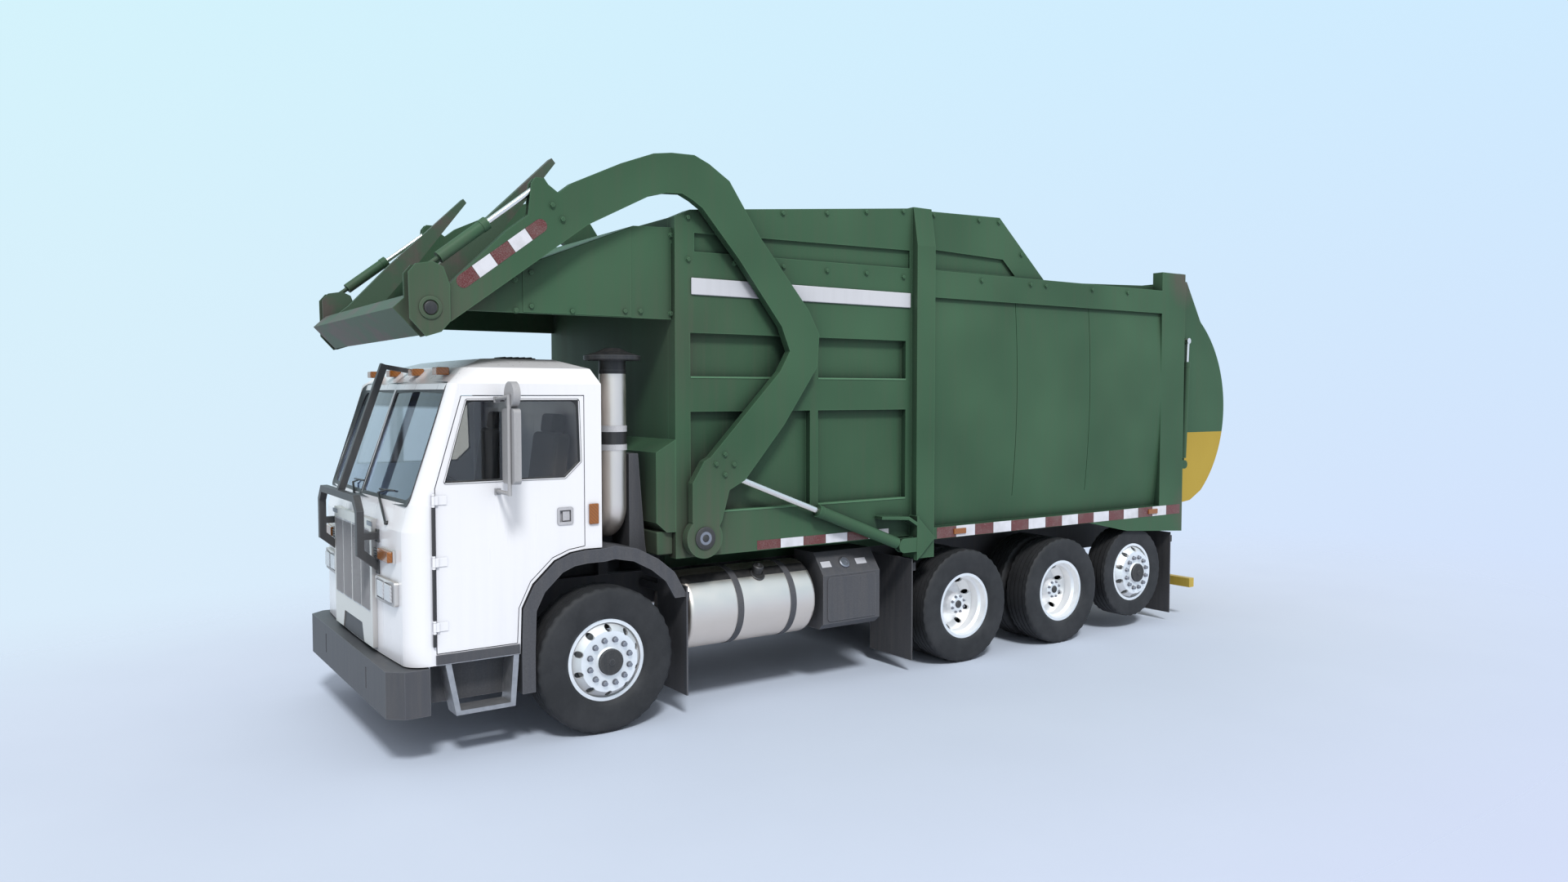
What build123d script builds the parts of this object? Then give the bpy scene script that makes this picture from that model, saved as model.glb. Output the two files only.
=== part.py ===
# Front loader garbage truck: a cab-over truck with a steer axle, a tandem of drive
# axles with twin tyres and a raised tag axle. A pair of lift arms reaches over the cab
# and carries the forks, which tip a bin into the open hopper behind the cab.
#
# All sizes are in millimetres. Stations are measured rearwards from the front axle,
# heights from the ground, and x is positive on the driver's side. Every piece is
# modelled in these truck coordinates, and save() moves it so that the origin is on the
# ground, midway between the front of the cab guard and the back of the tailgate.
from build123d import *
import math
import os

# ---------------------------------------------------------------- driving dimensions
PIN_GAP = 0.4               # radial clearance of a pivot pin in its bore
RUN_GAP = 0.3               # clearance of pieces that lie against each other

# Wheels and axles
FIRST_DRIVE_STATION = 3610
TANDEM_SPREAD = 1320
TAG_SPREAD = 1140
TAG_LIFT = 130              # how far the raised tag wheels hang clear of the ground
FRONT_TYRE_D = 1070
DRIVE_TYRE_D = 1040
TAG_TYRE_D = 930
FRONT_TYRE_W = 300
DRIVE_TYRE_W = 276
TAG_TYRE_W = 252
FRONT_TYRE_X = 1085         # middle of the tyre
DRIVE_TYRE_X = 1080         # middle of the outer tyre of a pair
TAG_TYRE_X = 1060
DUAL_SPACING = 330
RIM_FLANGE_R = 300
BEAD_R = 286
RIM_W = 229
RIM_WALL = 12
HAND_HOLES = 10
HAND_HOLE_R = 24
SPINDLE_R = 40
SPINDLE_REACH = 110         # how far a single wheel's spindle passes its tyre's middle
KINGPIN_X = 880
KINGPIN_R = 25
TIE_ROD_STATION = 220

# Cab
CAB_HALF_WIDTH = 1200
CAB_REAR = -30
CAB_WALL = 45
CAB_BOTTOM = 672
CAB_ROOF_SIDE = 2540
TUNNEL_TOP = 1310
DOOR_GAP = 7
GLASS = 8
DOOR_HINGE = (CAB_HALF_WIDTH + 13, -1240)   # x, station
DOOR_HINGE_HEIGHTS = (900, 1330, 1740)
HINGE_PIN_R = 5
WINDSHIELD = (1740, 2500)   # bottom and top of the opening
WINDSHIELD_HALF = 1085
MULLION_HALF = 16
GRILLE_HALF = 560
# Side outline of the wheel arch, from the cab's bottom to its rear
ARCH = [(-652, CAB_BOTTOM), (-640, 990), (-560, 1150), (-400, 1300), (-280, 1348), (-165, 1362)]
GUARD_FRONT = -1582
GUARD_TUBE = 50
GUARD_X = 590               # middle of the guard's uprights

# Body
BODY_HALF_WIDTH = 1220
HOPPER_HALF_WIDTH = BODY_HALF_WIDTH - 40
HOPPER_INNER_X = BODY_HALF_WIDTH - 150
BODY_INNER_X = BODY_HALF_WIDTH - 120
POST_HALF_WIDTH = BODY_HALF_WIDTH + 30
HOPPER_FRONT = 590
FRONT_WALL = 60
POST_FRONT = 2960
POST_REAR = 3170
BODY_REAR = 6860
REAR_POST_FRONT = BODY_REAR - 400
FLOOR_TOP = 1500
FLOOR_PLATE = 14
ROOF_PLATE = 40
BODY_BOTTOM = 1020

# Ladder frame
RAIL_OUTER_X = 430
RAIL_TOP = 1020
RAIL_DEPTH = 270
RAIL_FLANGE = 80
RAIL_WALL = 9
RAIL_FRONT = -1390
RAIL_REAR = BODY_REAR - 10
RAIL_UNDERSIDE = RAIL_TOP - RAIL_DEPTH
SPRING_X = (RAIL_OUTER_X - 75, RAIL_OUTER_X - 5)
SPRING_SEAT = RAIL_UNDERSIDE - 190
TUNNEL_HALF_WIDTH = RAIL_OUTER_X + 20

# Intake stack and air cleaner
STACK = (950, 180)          # x, station
STACK_R = 100
STACK_TOP = 2722
STACK_BEND = 160            # radius of the elbow's middle line
STACK_FOOT = 1480           # height at which the elbow runs inboard
AIR_CLEANER_X = 700         # side that the elbow runs into

# Loader
ARM_PIVOT = (784, 1374)     # station, height
FORK_PIVOT = (-1269, 3023)
LIFT_FOOT = (2800, 1150)
LIFT_EYE = (1040, 1838)
FORK_CYL_BASE = (-1300, 3270)
FORK_CYL_EYE = (-510, 3890)
ARM_INNER_X = HOPPER_HALF_WIDTH + 35
ARM_OUTER_X = ARM_INNER_X + 70
TORQUE_TUBE_R = 90
FORK_PIN_R = 35
EYE_WIDTH = 36
SLOT_HALF = 23              # half the gap between two ears
ARM_PLATE = 6               # side plates of an arm beside the lift cylinder
FORK_X = (930, 1000)
CYLINDER_X = (ARM_INNER_X + ARM_OUTER_X) / 2

# Tailgate
TAILGATE_SEAM = BODY_REAR + 8
TAILGATE_HINGE = (BODY_REAR + 55, 3735)
TAILGATE_BULGE = 890        # how far the skin stands out behind the seam
TAILGATE_HALF_WIDTH = BODY_HALF_WIDTH - 100
TAILGATE_WALL = 30
TAILGATE_PIN_R = 25
TAIL_CYL_FOOT = (BODY_REAR + 65, 1700)
TAIL_CYL_EYE = (BODY_REAR + 130, 3050)
TAIL_CYL_X = BODY_HALF_WIDTH - 48

ORIGIN_STATION = (GUARD_FRONT + TAILGATE_SEAM + TAILGATE_BULGE) / 2


# ---------------------------------------------------------------- helpers
def side_prism(outline, x_low, x_high):
    """A closed side outline of (station, height) points, from x_low to x_high."""
    face = make_face(Polyline(*outline, close=True))
    return extrude(Plane.YZ.offset(x_low) * face, amount=x_high - x_low)


def plan_prism(outline, z_low, z_high):
    """A closed plan outline of (x, station) points, between two heights."""
    face = make_face(Polyline(*outline, close=True))
    return extrude(Plane.XY.offset(z_low) * face, amount=z_high - z_low)


def end_prism(outline, y_low, y_high):
    """A closed (x, height) outline, between two stations."""
    face = make_face(Polyline(*outline, close=True))
    return extrude(Plane.XZ.offset(-y_high) * face, amount=y_high - y_low)


def block(x_low, x_high, y_low, y_high, z_low, z_high):
    """A box between three pairs of limits."""
    centre = ((x_low + x_high) / 2, (y_low + y_high) / 2, (z_low + z_high) / 2)
    return Pos(*centre) * Box(x_high - x_low, y_high - y_low, z_high - z_low)


def bar(start, end, radius):
    """A round bar from one point to another."""
    axis = Vector(*end) - Vector(*start)
    plane = Plane(origin=Vector(*start), z_dir=axis)
    return extrude(plane * Circle(radius), amount=axis.length)


def cross_bar(pin, radius, x_low, x_high):
    """A round bar along x through a (station, height) point."""
    return bar((x_low, *pin), (x_high, *pin), radius)


def square_bar(start, end, size):
    """A square bar from one point to another."""
    axis = Vector(*end) - Vector(*start)
    across = Vector(1, 0, 0) if axis.X == 0 else Vector(0, 1, 0)
    plane = Plane(origin=Vector(*start), x_dir=across, z_dir=axis)
    return extrude(plane * Rectangle(size, size), amount=axis.length)


def turned(outline):
    """A closed (x, radius) outline turned about the x axis."""
    return revolve(make_face(Polyline(*outline, close=True)), Axis.X)


def upright(outline, x, station):
    """A closed (radius, height) outline turned about a vertical line."""
    return Pos(x, station, 0) * revolve(Plane.XZ * make_face(Polyline(*outline, close=True)), Axis.Z)


def mirrored(shape):
    """The same piece on the other side of the truck."""
    return mirror(shape, about=Plane.YZ)


def fused(*shapes):
    total = shapes[0]
    for shape in shapes[1:]:
        total = total + shape
    return total


def towards(start, end, distance):
    """The (station, height) point that lies a distance from start on the way to end."""
    length = math.dist(start, end)
    return tuple(a + (b - a) * distance / length for a, b in zip(start, end))


def save(name, *shapes):
    """Write the solids of one node in the frame's own coordinates."""
    solids = [solid for shape in shapes for solid in shape.solids()]
    moved = Pos(0, -ORIGIN_STATION, 0) * Compound(solids)
    export_step(moved, f"parts/{name}.step")


# ---------------------------------------------------------------- wheels
def tyre(diameter, width, x):
    """A hollow tyre: tread, shoulders, bulging sidewalls and beads between the flanges."""
    top = diameter / 2
    bead = BEAD_R + RUN_GAP
    bead_x = RIM_W / 2 - RIM_WALL - RUN_GAP
    middle = (top + bead) / 2
    half = width / 2
    right = [(bead_x, bead), (bead_x, bead + 20), (half, middle), (half * 0.93, top - 40),
             (half * 0.80, top - 8)]
    cavity = [(half * 0.62, top - 46), (half - 20, middle), (bead_x - 16, bead + 26),
              (bead_x - 16, bead)]
    left = [(-px, pr) for px, pr in reversed(right)]
    back = [(-px, pr) for px, pr in reversed(cavity)]
    return Pos(x, 0, 0) * turned(right + [(0, top)] + left + back + cavity)


def rim_barrel(x):
    """Flanges, bead seats and drop centre."""
    half = RIM_W / 2
    outside = [(half, RIM_FLANGE_R), (half - RIM_WALL, RIM_FLANGE_R), (half - RIM_WALL, BEAD_R),
               (half - 62, BEAD_R - 6), (half - 84, BEAD_R - 26)]
    inside = [(half, BEAD_R - RIM_WALL), (half - 58, BEAD_R - 18), (half - 78, BEAD_R - 38)]
    across = outside + [(-px, pr) for px, pr in reversed(outside)]
    return Pos(x, 0, 0) * turned(across + [(-px, pr) for px, pr in inside] + inside[::-1])


def wheel_disc(x, side):
    """A dished disc that leaves the barrel and bulges to one side, with its hand holes."""
    barrel_r = BEAD_R - 12
    outline = [(64, barrel_r), (88, barrel_r), (DUAL_SPACING / 2, 222), (DUAL_SPACING / 2, 90),
               (151, 90), (151, 214)]
    disc = turned([(x + side * px, pr) for px, pr in outline])
    for step in range(HAND_HOLES):
        angle = 2 * math.pi * (step + 0.5) / HAND_HOLES
        y, z = 239 * math.cos(angle), 239 * math.sin(angle)
        disc = disc - bar((x + side * 60, y, z), (x + side * 180, y, z), HAND_HOLE_R)
    return disc


def single_rim():
    """Rim of a single wheel: the disc bulges outwards, and the hub turns on a spindle."""
    bore = SPINDLE_R + PIN_GAP
    socket = SPINDLE_REACH + 10
    hub = turned([(-105, bore), (-105, 205), (20, 205), (20, 130), (150, 118), (178, 95),
                  (178, 70), (195, 60), (195, 0), (socket, 0), (socket, bore)])
    return fused(rim_barrel(0), wheel_disc(0, 1), hub)


def rear_hub():
    """Hub and brake drum of a rear wheel, reaching out into the dish of the disc."""
    bore = SPINDLE_R + PIN_GAP
    return turned([(-330, bore), (-330, 205), (-185, 205), (-185, 118), (-20, 100), (20, 88),
                   (32, 60), (32, 0), (-60, 0), (-60, bore)])


def dual_rims():
    """Two rims whose discs meet at the middle of the pair."""
    return fused(rim_barrel(0), wheel_disc(0, -1), rim_barrel(-DUAL_SPACING),
                 wheel_disc(-DUAL_SPACING, 1), rear_hub())


def make_wheels():
    first = FIRST_DRIVE_STATION
    second = first + TANDEM_SPREAD
    tag = second + TAG_SPREAD
    front_tyre = tyre(FRONT_TYRE_D, FRONT_TYRE_W, 0)
    drive_tyres = [tyre(DRIVE_TYRE_D, DRIVE_TYRE_W, x) for x in (0, -DUAL_SPACING)]
    tag_tyre = tyre(TAG_TYRE_D, TAG_TYRE_W, 0)
    rims = dual_rims()
    # name, station, height of the axle, x, tyres, rim
    table = [
        ("front", 0, FRONT_TYRE_D / 2, FRONT_TYRE_X, [front_tyre], single_rim()),
        ("drive_front", first, DRIVE_TYRE_D / 2, DRIVE_TYRE_X, drive_tyres, rims),
        ("drive_rear", second, DRIVE_TYRE_D / 2, DRIVE_TYRE_X, drive_tyres, rims),
        ("tag", tag, TAG_TYRE_D / 2 + TAG_LIFT, TAG_TYRE_X, [tag_tyre], single_rim()),
    ]
    for name, station, height, x, tyres, wheel in table:
        place = Pos(x, station, height)
        placed = [place * one for one in tyres]
        save(f"{name}_tyre_left", *placed)
        save(f"{name}_tyre_right", *[mirrored(one) for one in placed])
        save(f"{name}_rim_left", place * wheel)
        save(f"{name}_rim_right", mirrored(place * wheel))


# ---------------------------------------------------------------- axles and steering
def front_axle():
    """Dropped beam with a boss for each kingpin, and its leaf springs."""
    middle = FRONT_TYRE_D / 2
    top = SPRING_SEAT - 40
    low = top - 110
    left = [(KINGPIN_X + 40, middle - 55), (KINGPIN_X + 40, middle + 55),
            (KINGPIN_X - 60, middle + 55), (620, top)]
    right = [(-px, pz) for px, pz in reversed(left)]
    under = [(-KINGPIN_X + 100, middle - 55), (-600, low), (600, low),
             (KINGPIN_X - 100, middle - 55)]
    beam = end_prism(left + right + under, -45, 45)
    for x in (-KINGPIN_X, KINGPIN_X):
        beam = beam + bar((x, 0, middle - 55), (x, 0, middle + 55), 55)
        beam = beam - bar((x, 0, middle - 60), (x, 0, middle + 60), KINGPIN_R + PIN_GAP)
    for side in (-1, 1):
        low_x, high_x = sorted((side * SPRING_X[0], side * SPRING_X[1]))
        beam = beam + block(low_x, high_x, -60, 60, top - 10, SPRING_SEAT)
        beam = beam + side_prism(leaf_spring(0, SPRING_SEAT, 700, 60, 60), low_x, high_x)
        for station in (-700, 700):
            beam = beam + block(low_x, high_x, station - 35, station + 35, SPRING_SEAT + 50,
                                RAIL_UNDERSIDE)
    return beam


def leaf_spring(station, low, reach, thick, rise):
    """Side outline of a leaf pack, thickest in the middle and rising to its eyes."""
    return [(station - reach, low + rise), (station - reach / 2, low + rise / 4),
            (station - 60, low), (station + 60, low), (station + reach / 2, low + rise / 4),
            (station + reach, low + rise), (station + reach, low + rise + thick / 2),
            (station + reach / 2, low + rise / 4 + thick * 0.8), (station + 60, low + thick),
            (station - 60, low + thick), (station - reach / 2, low + rise / 4 + thick * 0.8),
            (station - reach, low + rise + thick / 2)]


def drive_bogie():
    """Both drive axles with the walking springs that tie them to the frame."""
    height = DRIVE_TYRE_D / 2
    first = FIRST_DRIVE_STATION
    stations = (first, first + TANDEM_SPREAD)
    middle = first + TANDEM_SPREAD / 2
    spindle_tip = DRIVE_TYRE_X - 70
    spindle_root = DRIVE_TYRE_X - 340
    bogie = None
    for station in stations:
        pin = (station, height)
        axle = cross_bar(pin, SPINDLE_R, -spindle_tip, spindle_tip)
        axle = axle + cross_bar(pin, 70, -spindle_root, spindle_root)
        axle = axle + cross_bar(pin, 190, -120, 120)
        axle = axle + bar((0, station - 250, height), (0, station, height), 90)
        bogie = axle if bogie is None else bogie + axle
    for side in (-1, 1):
        low_x, high_x = sorted((side * SPRING_X[0], side * SPRING_X[1]))
        outline = [(stations[0] - 130, height + 65), (stations[1] + 130, height + 65),
                   (stations[1] + 130, height + 105), (middle + 150, height + 190),
                   (middle - 150, height + 190), (stations[0] - 130, height + 105)]
        bogie = bogie + side_prism(outline, low_x, high_x)
        bogie = bogie + block(low_x, high_x, middle - 120, middle + 120, height + 180,
                              RAIL_UNDERSIDE)
    return bogie


def tag_axle():
    """Raised axle on trailing arms."""
    station = FIRST_DRIVE_STATION + TANDEM_SPREAD + TAG_SPREAD
    height = TAG_TYRE_D / 2 + TAG_LIFT
    pin = (station, height)
    tip = TAG_TYRE_X + SPINDLE_REACH
    root = TAG_TYRE_X - 120
    axle = cross_bar(pin, SPINDLE_R, -tip, tip) + cross_bar(pin, 60, -root, root)
    for side in (-1, 1):
        low_x, high_x = sorted((side * SPRING_X[0], side * SPRING_X[1]))
        outline = [(station - 60, height - 40), (station + 90, height - 40),
                   (station + 90, height + 90), (station - 60, height + 90),
                   (station - 470, height + 155), (station - 560, height + 155),
                   (station - 560, height + 60), (station - 470, height + 60)]
        axle = axle + side_prism(outline, low_x, high_x)
    return axle


def knuckle():
    """Left steering knuckle: yoke, kingpin, spindle and steering arm."""
    middle = FRONT_TYRE_D / 2
    x = KINGPIN_X
    yoke = block(x - 45, x + 95, -45, 45, middle - 92, middle - 60)
    yoke = yoke + block(x - 45, x + 95, -45, 45, middle + 60, middle + 92)
    yoke = yoke + block(x + 62, x + 95, -70, 70, middle - 92, middle + 92)
    yoke = yoke + bar((x, 0, middle - 80), (x, 0, middle + 80), KINGPIN_R)
    yoke = yoke + bar((x + 90, 0, middle), (FRONT_TYRE_X + SPINDLE_REACH, 0, middle),
                      SPINDLE_R)
    arm = plan_prism([(x - 30, 40), (x + 40, 40), (x - 35, TIE_ROD_STATION + 30),
                      (x - 85, TIE_ROD_STATION + 30)], middle - 92, middle - 68)
    return yoke + arm


def tie_rod():
    """Rod between the steering arms, with a ball housing under each."""
    top = FRONT_TYRE_D / 2 - 92 - RUN_GAP
    x = KINGPIN_X - 55
    rod = bar((-x, TIE_ROD_STATION, top - 24), (x, TIE_ROD_STATION, top - 24), 16)
    for end in (-x, x):
        rod = rod + bar((end, TIE_ROD_STATION, top - 46), (end, TIE_ROD_STATION, top), 26)
    return rod


# ---------------------------------------------------------------- frame and its fittings
def ladder_frame():
    """Two C rails joined by cross members."""
    low = RAIL_UNDERSIDE
    web = RAIL_OUTER_X - RAIL_WALL
    section = [(RAIL_OUTER_X, low), (RAIL_OUTER_X, RAIL_TOP),
               (RAIL_OUTER_X - RAIL_FLANGE, RAIL_TOP),
               (RAIL_OUTER_X - RAIL_FLANGE, RAIL_TOP - RAIL_WALL), (web, RAIL_TOP - RAIL_WALL),
               (web, low + RAIL_WALL), (RAIL_OUTER_X - RAIL_FLANGE, low + RAIL_WALL),
               (RAIL_OUTER_X - RAIL_FLANGE, low)]
    rail = end_prism(section, RAIL_FRONT, RAIL_REAR)
    frame = rail + mirrored(rail)
    for station in (-1330, 900, 2300, 3100, 4270, 5500, RAIL_REAR - 150):
        frame = frame + block(-web, web, station, station + 70, low + 35, RAIL_TOP - 35)
    for side in (-1, 1):
        low_x, high_x = sorted((side * RAIL_OUTER_X, side * TUNNEL_HALF_WIDTH))
        for station in (-1120, -780):
            frame = frame + block(low_x, high_x, station, station + 90, 860, 960)
        low_x, high_x = sorted((side * (RAIL_OUTER_X - 70), side * RAIL_OUTER_X))
        frame = frame + block(low_x, high_x, -170, -90, RAIL_TOP, TUNNEL_TOP)
    return frame


def front_bumper():
    """Pressed bumper: a wrapped plate with top and bottom returns, on two brackets."""
    low, high, plate = 350, 662, 8
    front, rear, flat, wide = -1540, -1275, 1130, BODY_HALF_WIDTH
    outer = [(-wide, rear), (-wide, front + 100), (-flat, front), (flat, front),
             (wide, front + 100), (wide, rear)]
    inner_wide, inner_front = wide - plate, front + plate
    inner = [(-inner_wide, rear + plate), (-inner_wide, front + 104), (-flat + 4, inner_front),
             (flat - 4, inner_front), (inner_wide, front + 104), (inner_wide, rear + plate)]
    bumper = plan_prism(outer, low, high) - plan_prism(inner, low + plate, high - plate)
    bumper = bumper - block(-flat + 60, flat - 60, front + 90, rear + plate, low - plate, low + 2 * plate)
    for x in (-620, 620):
        bumper = bumper - block(x - 14, x + 14, front - plate, front + 2 * plate, 440, 590)
    web = [(front + 4, 420), (-1240, 420), (-1240, 980), (-1380, 980), (-1380, high - 4),
           (front + 4, high - 4)]
    bracket = side_prism(web, RAIL_OUTER_X, RAIL_OUTER_X + 12)
    return fused(bumper, bracket, mirrored(bracket))


def engine_block():
    """One plain block between the rails, on four feet that meet the webs."""
    half = RAIL_OUTER_X - 90
    engine = block(-half, half, -980, 330, 600, 1250)
    inner = RAIL_OUTER_X - RAIL_WALL
    for station in (-900, 150):
        engine = engine + block(-inner, inner, station, station + 90, 820, 940)
    return engine


def fuel_tank():
    """Left tank: a drum with domed ends, two straps to the rail and its filler."""
    front, rear, radius = 705, 1915, 310
    x, z = CAB_HALF_WIDTH - radius - 8, 765
    top = z + radius
    drum = bar((x, front, z), (x, rear, z), radius)
    drum = fillet(drum.edges().filter_by(GeomType.CIRCLE), 45)
    for station in (1140, 1650):
        drum = drum + bar((x, station, z), (x, station + 55, z), radius + 5)
        tail = [(RAIL_OUTER_X, RAIL_TOP - 90), (RAIL_OUTER_X, RAIL_TOP), (x - 90, top + 5),
                (x, top + 5), (x, RAIL_TOP - 90)]
        drum = drum + end_prism(tail, station, station + 55)
        drum = drum + block(RAIL_OUTER_X, x, station, station + 55, RAIL_TOP - 250, RAIL_TOP - 150)
    return drum + bar((x + 150, 1400, z + 200), (x + 195, 1400, z + 300), 42)


def battery_box():
    """Left box behind the tank: its lid slopes inboard, and a bracket meets the rail."""
    front, rear = 1990, 2600
    body = end_prism([(760, 490), (1120, 490), (1178, 540), (1178, 950), (1150, 985),
                      (1040, 1130), (760, 1130)], front, rear)
    panel = block(1170, 1186, front + 45, rear - 45, 560, 930)
    panel = fillet(panel.edges().filter_by(Axis.X), 30)
    arm = block(RAIL_OUTER_X, 800, front + 70, rear - 70, 800, 900)
    return fused(body, panel, arm)


def front_fender():
    """Left fender: a lip and liner around the arch, the deck and air cleaner behind the
    cab, and the mudflap with its hanger."""
    lip, liner, gap, base = 95, 14, 9, 280
    flap_front, flap_rear = 654, 666
    rear_part = [(CAB_REAR + 10, 1353), (70, 1366), (250, 1330), (420, 1240), (558, 1128),
                 (flap_rear, 940)]
    outline = [(ARCH[0][0] + gap, base)] + [(py + gap, pz - gap) for py, pz in ARCH]
    outer = make_face(Polyline(*outline, *rear_part, (flap_rear, base), close=True))
    rim = outer - offset(outer, amount=-lip, kind=Kind.INTERSECTION)
    sheet = outer - offset(outer, amount=-liner, kind=Kind.INTERSECTION)
    fender = outline_prism(rim, 1190, 1214) + outline_prism(sheet, 1000, 1200)
    fender = fender - block(900, 1300, -800, 0, base - 10, 390) - block(900, 1300, 0, 800, base - 10, 930)
    deck = outline_prism(sheet, 640, 1010) & block(600, 1010, CAB_REAR + 10, 600, 1000, 1400)
    cover = side_prism([(290, 1290), (290, 2020), (365, 2020), (420, 1330), (440, 1210)], 640, 1000)
    cleaner = block(520, AIR_CLEANER_X, 60, 400, 1310, 1600)
    column = block(RAIL_OUTER_X - 60, RAIL_OUTER_X, 300, 380, RAIL_TOP, 1400)
    beam = block(RAIL_OUTER_X - 60, 660, 300, 380, 1330, 1400)
    flap = block(760, 1225, flap_front, flap_rear, 170, 1010)
    hanger = block(RAIL_OUTER_X, 1200, flap_rear - 6, flap_rear + 29, 900, 960)
    return fused(fender, deck, cover, cleaner, column, beam, flap, hanger)


def mudflap(station, x_low, x_high, low, high):
    """A hanging flap and the bracket that carries it from the rail."""
    flap = block(x_low, x_high, station, station + 12, low, high)
    return flap + block(RAIL_OUTER_X, x_high - 20, station + 12, station + 62, high - 110, high - 40)


def cab_step():
    """Left boarding step: rocker, dark back panel and the step frame under the door."""
    rocker = block(1000, 1196, -1235, -665, 668, 672 - RUN_GAP)
    panel = block(1010, 1030, -1215, -700, 380, 672 - RUN_GAP)
    frame = side_prism([(-1170, 671), (-1100, 315), (-690, 315), (-660, 671), (-700, 671),
                        (-725, 345), (-1070, 345), (-1130, 671)], 1030, 1200)
    tray = block(1030, 1200, -1100, -690, 315, 330)
    return fused(rocker, panel, frame, tray)


def air_stack():
    """Intake stack behind the cab: rain cap, clamp bands and the elbow at its foot."""
    x, station = STACK
    turn = STACK_FOOT + STACK_BEND
    pipe = bar((x, station, turn), (x, station, STACK_TOP), STACK_R)
    centre = Axis((x - STACK_BEND, station, turn), (0, 1, 0))
    pipe = pipe + revolve(Plane.XY.offset(turn) * Pos(x, station) * Circle(STACK_R), centre, 90)
    pipe = pipe + bar((x - STACK_BEND, station, STACK_FOOT),
                      (AIR_CLEANER_X + RUN_GAP, station, STACK_FOOT), STACK_R)
    # low and high end of a band, and how far it stands out
    for low, high, proud in [(2050, 2094, 7), (2094, 2188, 4), (2188, 2234, 7), (2620, 2647, 3)]:
        pipe = pipe + bar((x, station, low), (x, station, high), STACK_R + proud)
    cap = upright([(0, STACK_TOP - 2), (205, STACK_TOP - 2), (212, STACK_TOP + 6),
                   (212, STACK_TOP + 32), (110, STACK_TOP + 62), (60, STACK_TOP + 88),
                   (0, STACK_TOP + 92)], x, station)
    return pipe + cap


def rear_guard():
    """Underride bar below the tailgate, hung from the rails."""
    half = BODY_HALF_WIDTH - 20
    front = BODY_REAR + 190
    guard = block(-half, half, front, front + 80, 330, 430)
    strut = [(RAIL_REAR - 150, RAIL_UNDERSIDE), (RAIL_REAR, RAIL_UNDERSIDE), (front + 70, 430),
             (front + 70, 340), (front + 10, 340)]
    leg = side_prism(strut, RAIL_OUTER_X - 60, RAIL_OUTER_X)
    return fused(guard, leg, mirrored(leg))


# ---------------------------------------------------------------- cab
def cab_outline(inset):
    """Side outline of the cab with the wheel arch cut out of its lower rear corner."""
    front, high = -1700, 3000
    outline = [(front, CAB_BOTTOM), *ARCH, (CAB_REAR, ARCH[-1][1]), (CAB_REAR, high), (front, high)]
    face = make_face(Polyline(*outline, close=True))
    if inset:
        face = offset(face, amount=-inset, kind=Kind.INTERSECTION)
    return outline_prism(face, -CAB_HALF_WIDTH - 100, CAB_HALF_WIDTH + 100)


def cab_volume(inset):
    """The cab's outer form, moved in by an inset: lofted up from plan outlines."""
    # height, front at the middle, front at the corner, front of the side, half width
    table = [
        (600 + inset, -1450, -1412, -1252, CAB_HALF_WIDTH),
        (1560, -1450, -1412, -1252, CAB_HALF_WIDTH),
        (WINDSHIELD[0], -1407, -1367, -1243, CAB_HALF_WIDTH),
        (CAB_ROOF_SIDE - inset * 0.4, -1132, -1090, -1064, CAB_HALF_WIDTH),
        (2650 - inset, -1020, -980, -860, 1110),
        (2722 - inset, -760, -740, -640, 800),
    ]
    sections = []
    for height, front, corner, side, half_width in table:
        wide = half_width - inset
        near = wide - 120
        rear = CAB_REAR - (0 if half_width == CAB_HALF_WIDTH else CAB_HALF_WIDTH - half_width) * 0.5
        bow = ThreePointArc((-near, corner + inset), (0, front + inset), (near, corner + inset))
        right = ThreePointArc((near, corner + inset), (wide - 28, (corner + side) / 2 + inset - 22),
                              (wide, side + inset))
        left = ThreePointArc((-wide, side + inset), (-wide + 28, (corner + side) / 2 + inset - 22),
                             (-near, corner + inset))
        back = Polyline((wide, side + inset), (wide, rear), (-wide, rear), (-wide, side + inset))
        outline = make_face([bow, right, back, left])
        sections.append(Plane.XY.offset(height) * outline)
    return loft(sections, ruled=True)


def cab_solid(inset):
    half = TUNNEL_HALF_WIDTH + inset
    tunnel = block(-half, half, -1405, CAB_REAR + 100, 300, TUNNEL_TOP + inset)
    return (cab_volume(inset) & cab_outline(inset)) - tunnel


DOOR = [(-1228, 745), (-668, 745), (-655, 990), (-570, 1165), (-407, 1316), (-282, 1364),
        (-160, 1380), (-160, 2462), (-1045, 2462), (-1228, 1845)]
DOOR_WINDOW = [(-1160, 1880), (-310, 1880), (-192, 1990), (-206, 2428), (-1008, 2428)]


def grown(outline, amount):
    """An outline's face, offset outwards by an amount."""
    face = make_face(Polyline(*outline, close=True))
    return offset(face, amount=amount, kind=Kind.INTERSECTION) if amount else face


def outline_prism(face, x_low, x_high):
    return extrude(Plane.YZ.offset(x_low) * face, amount=x_high - x_low)


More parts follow.
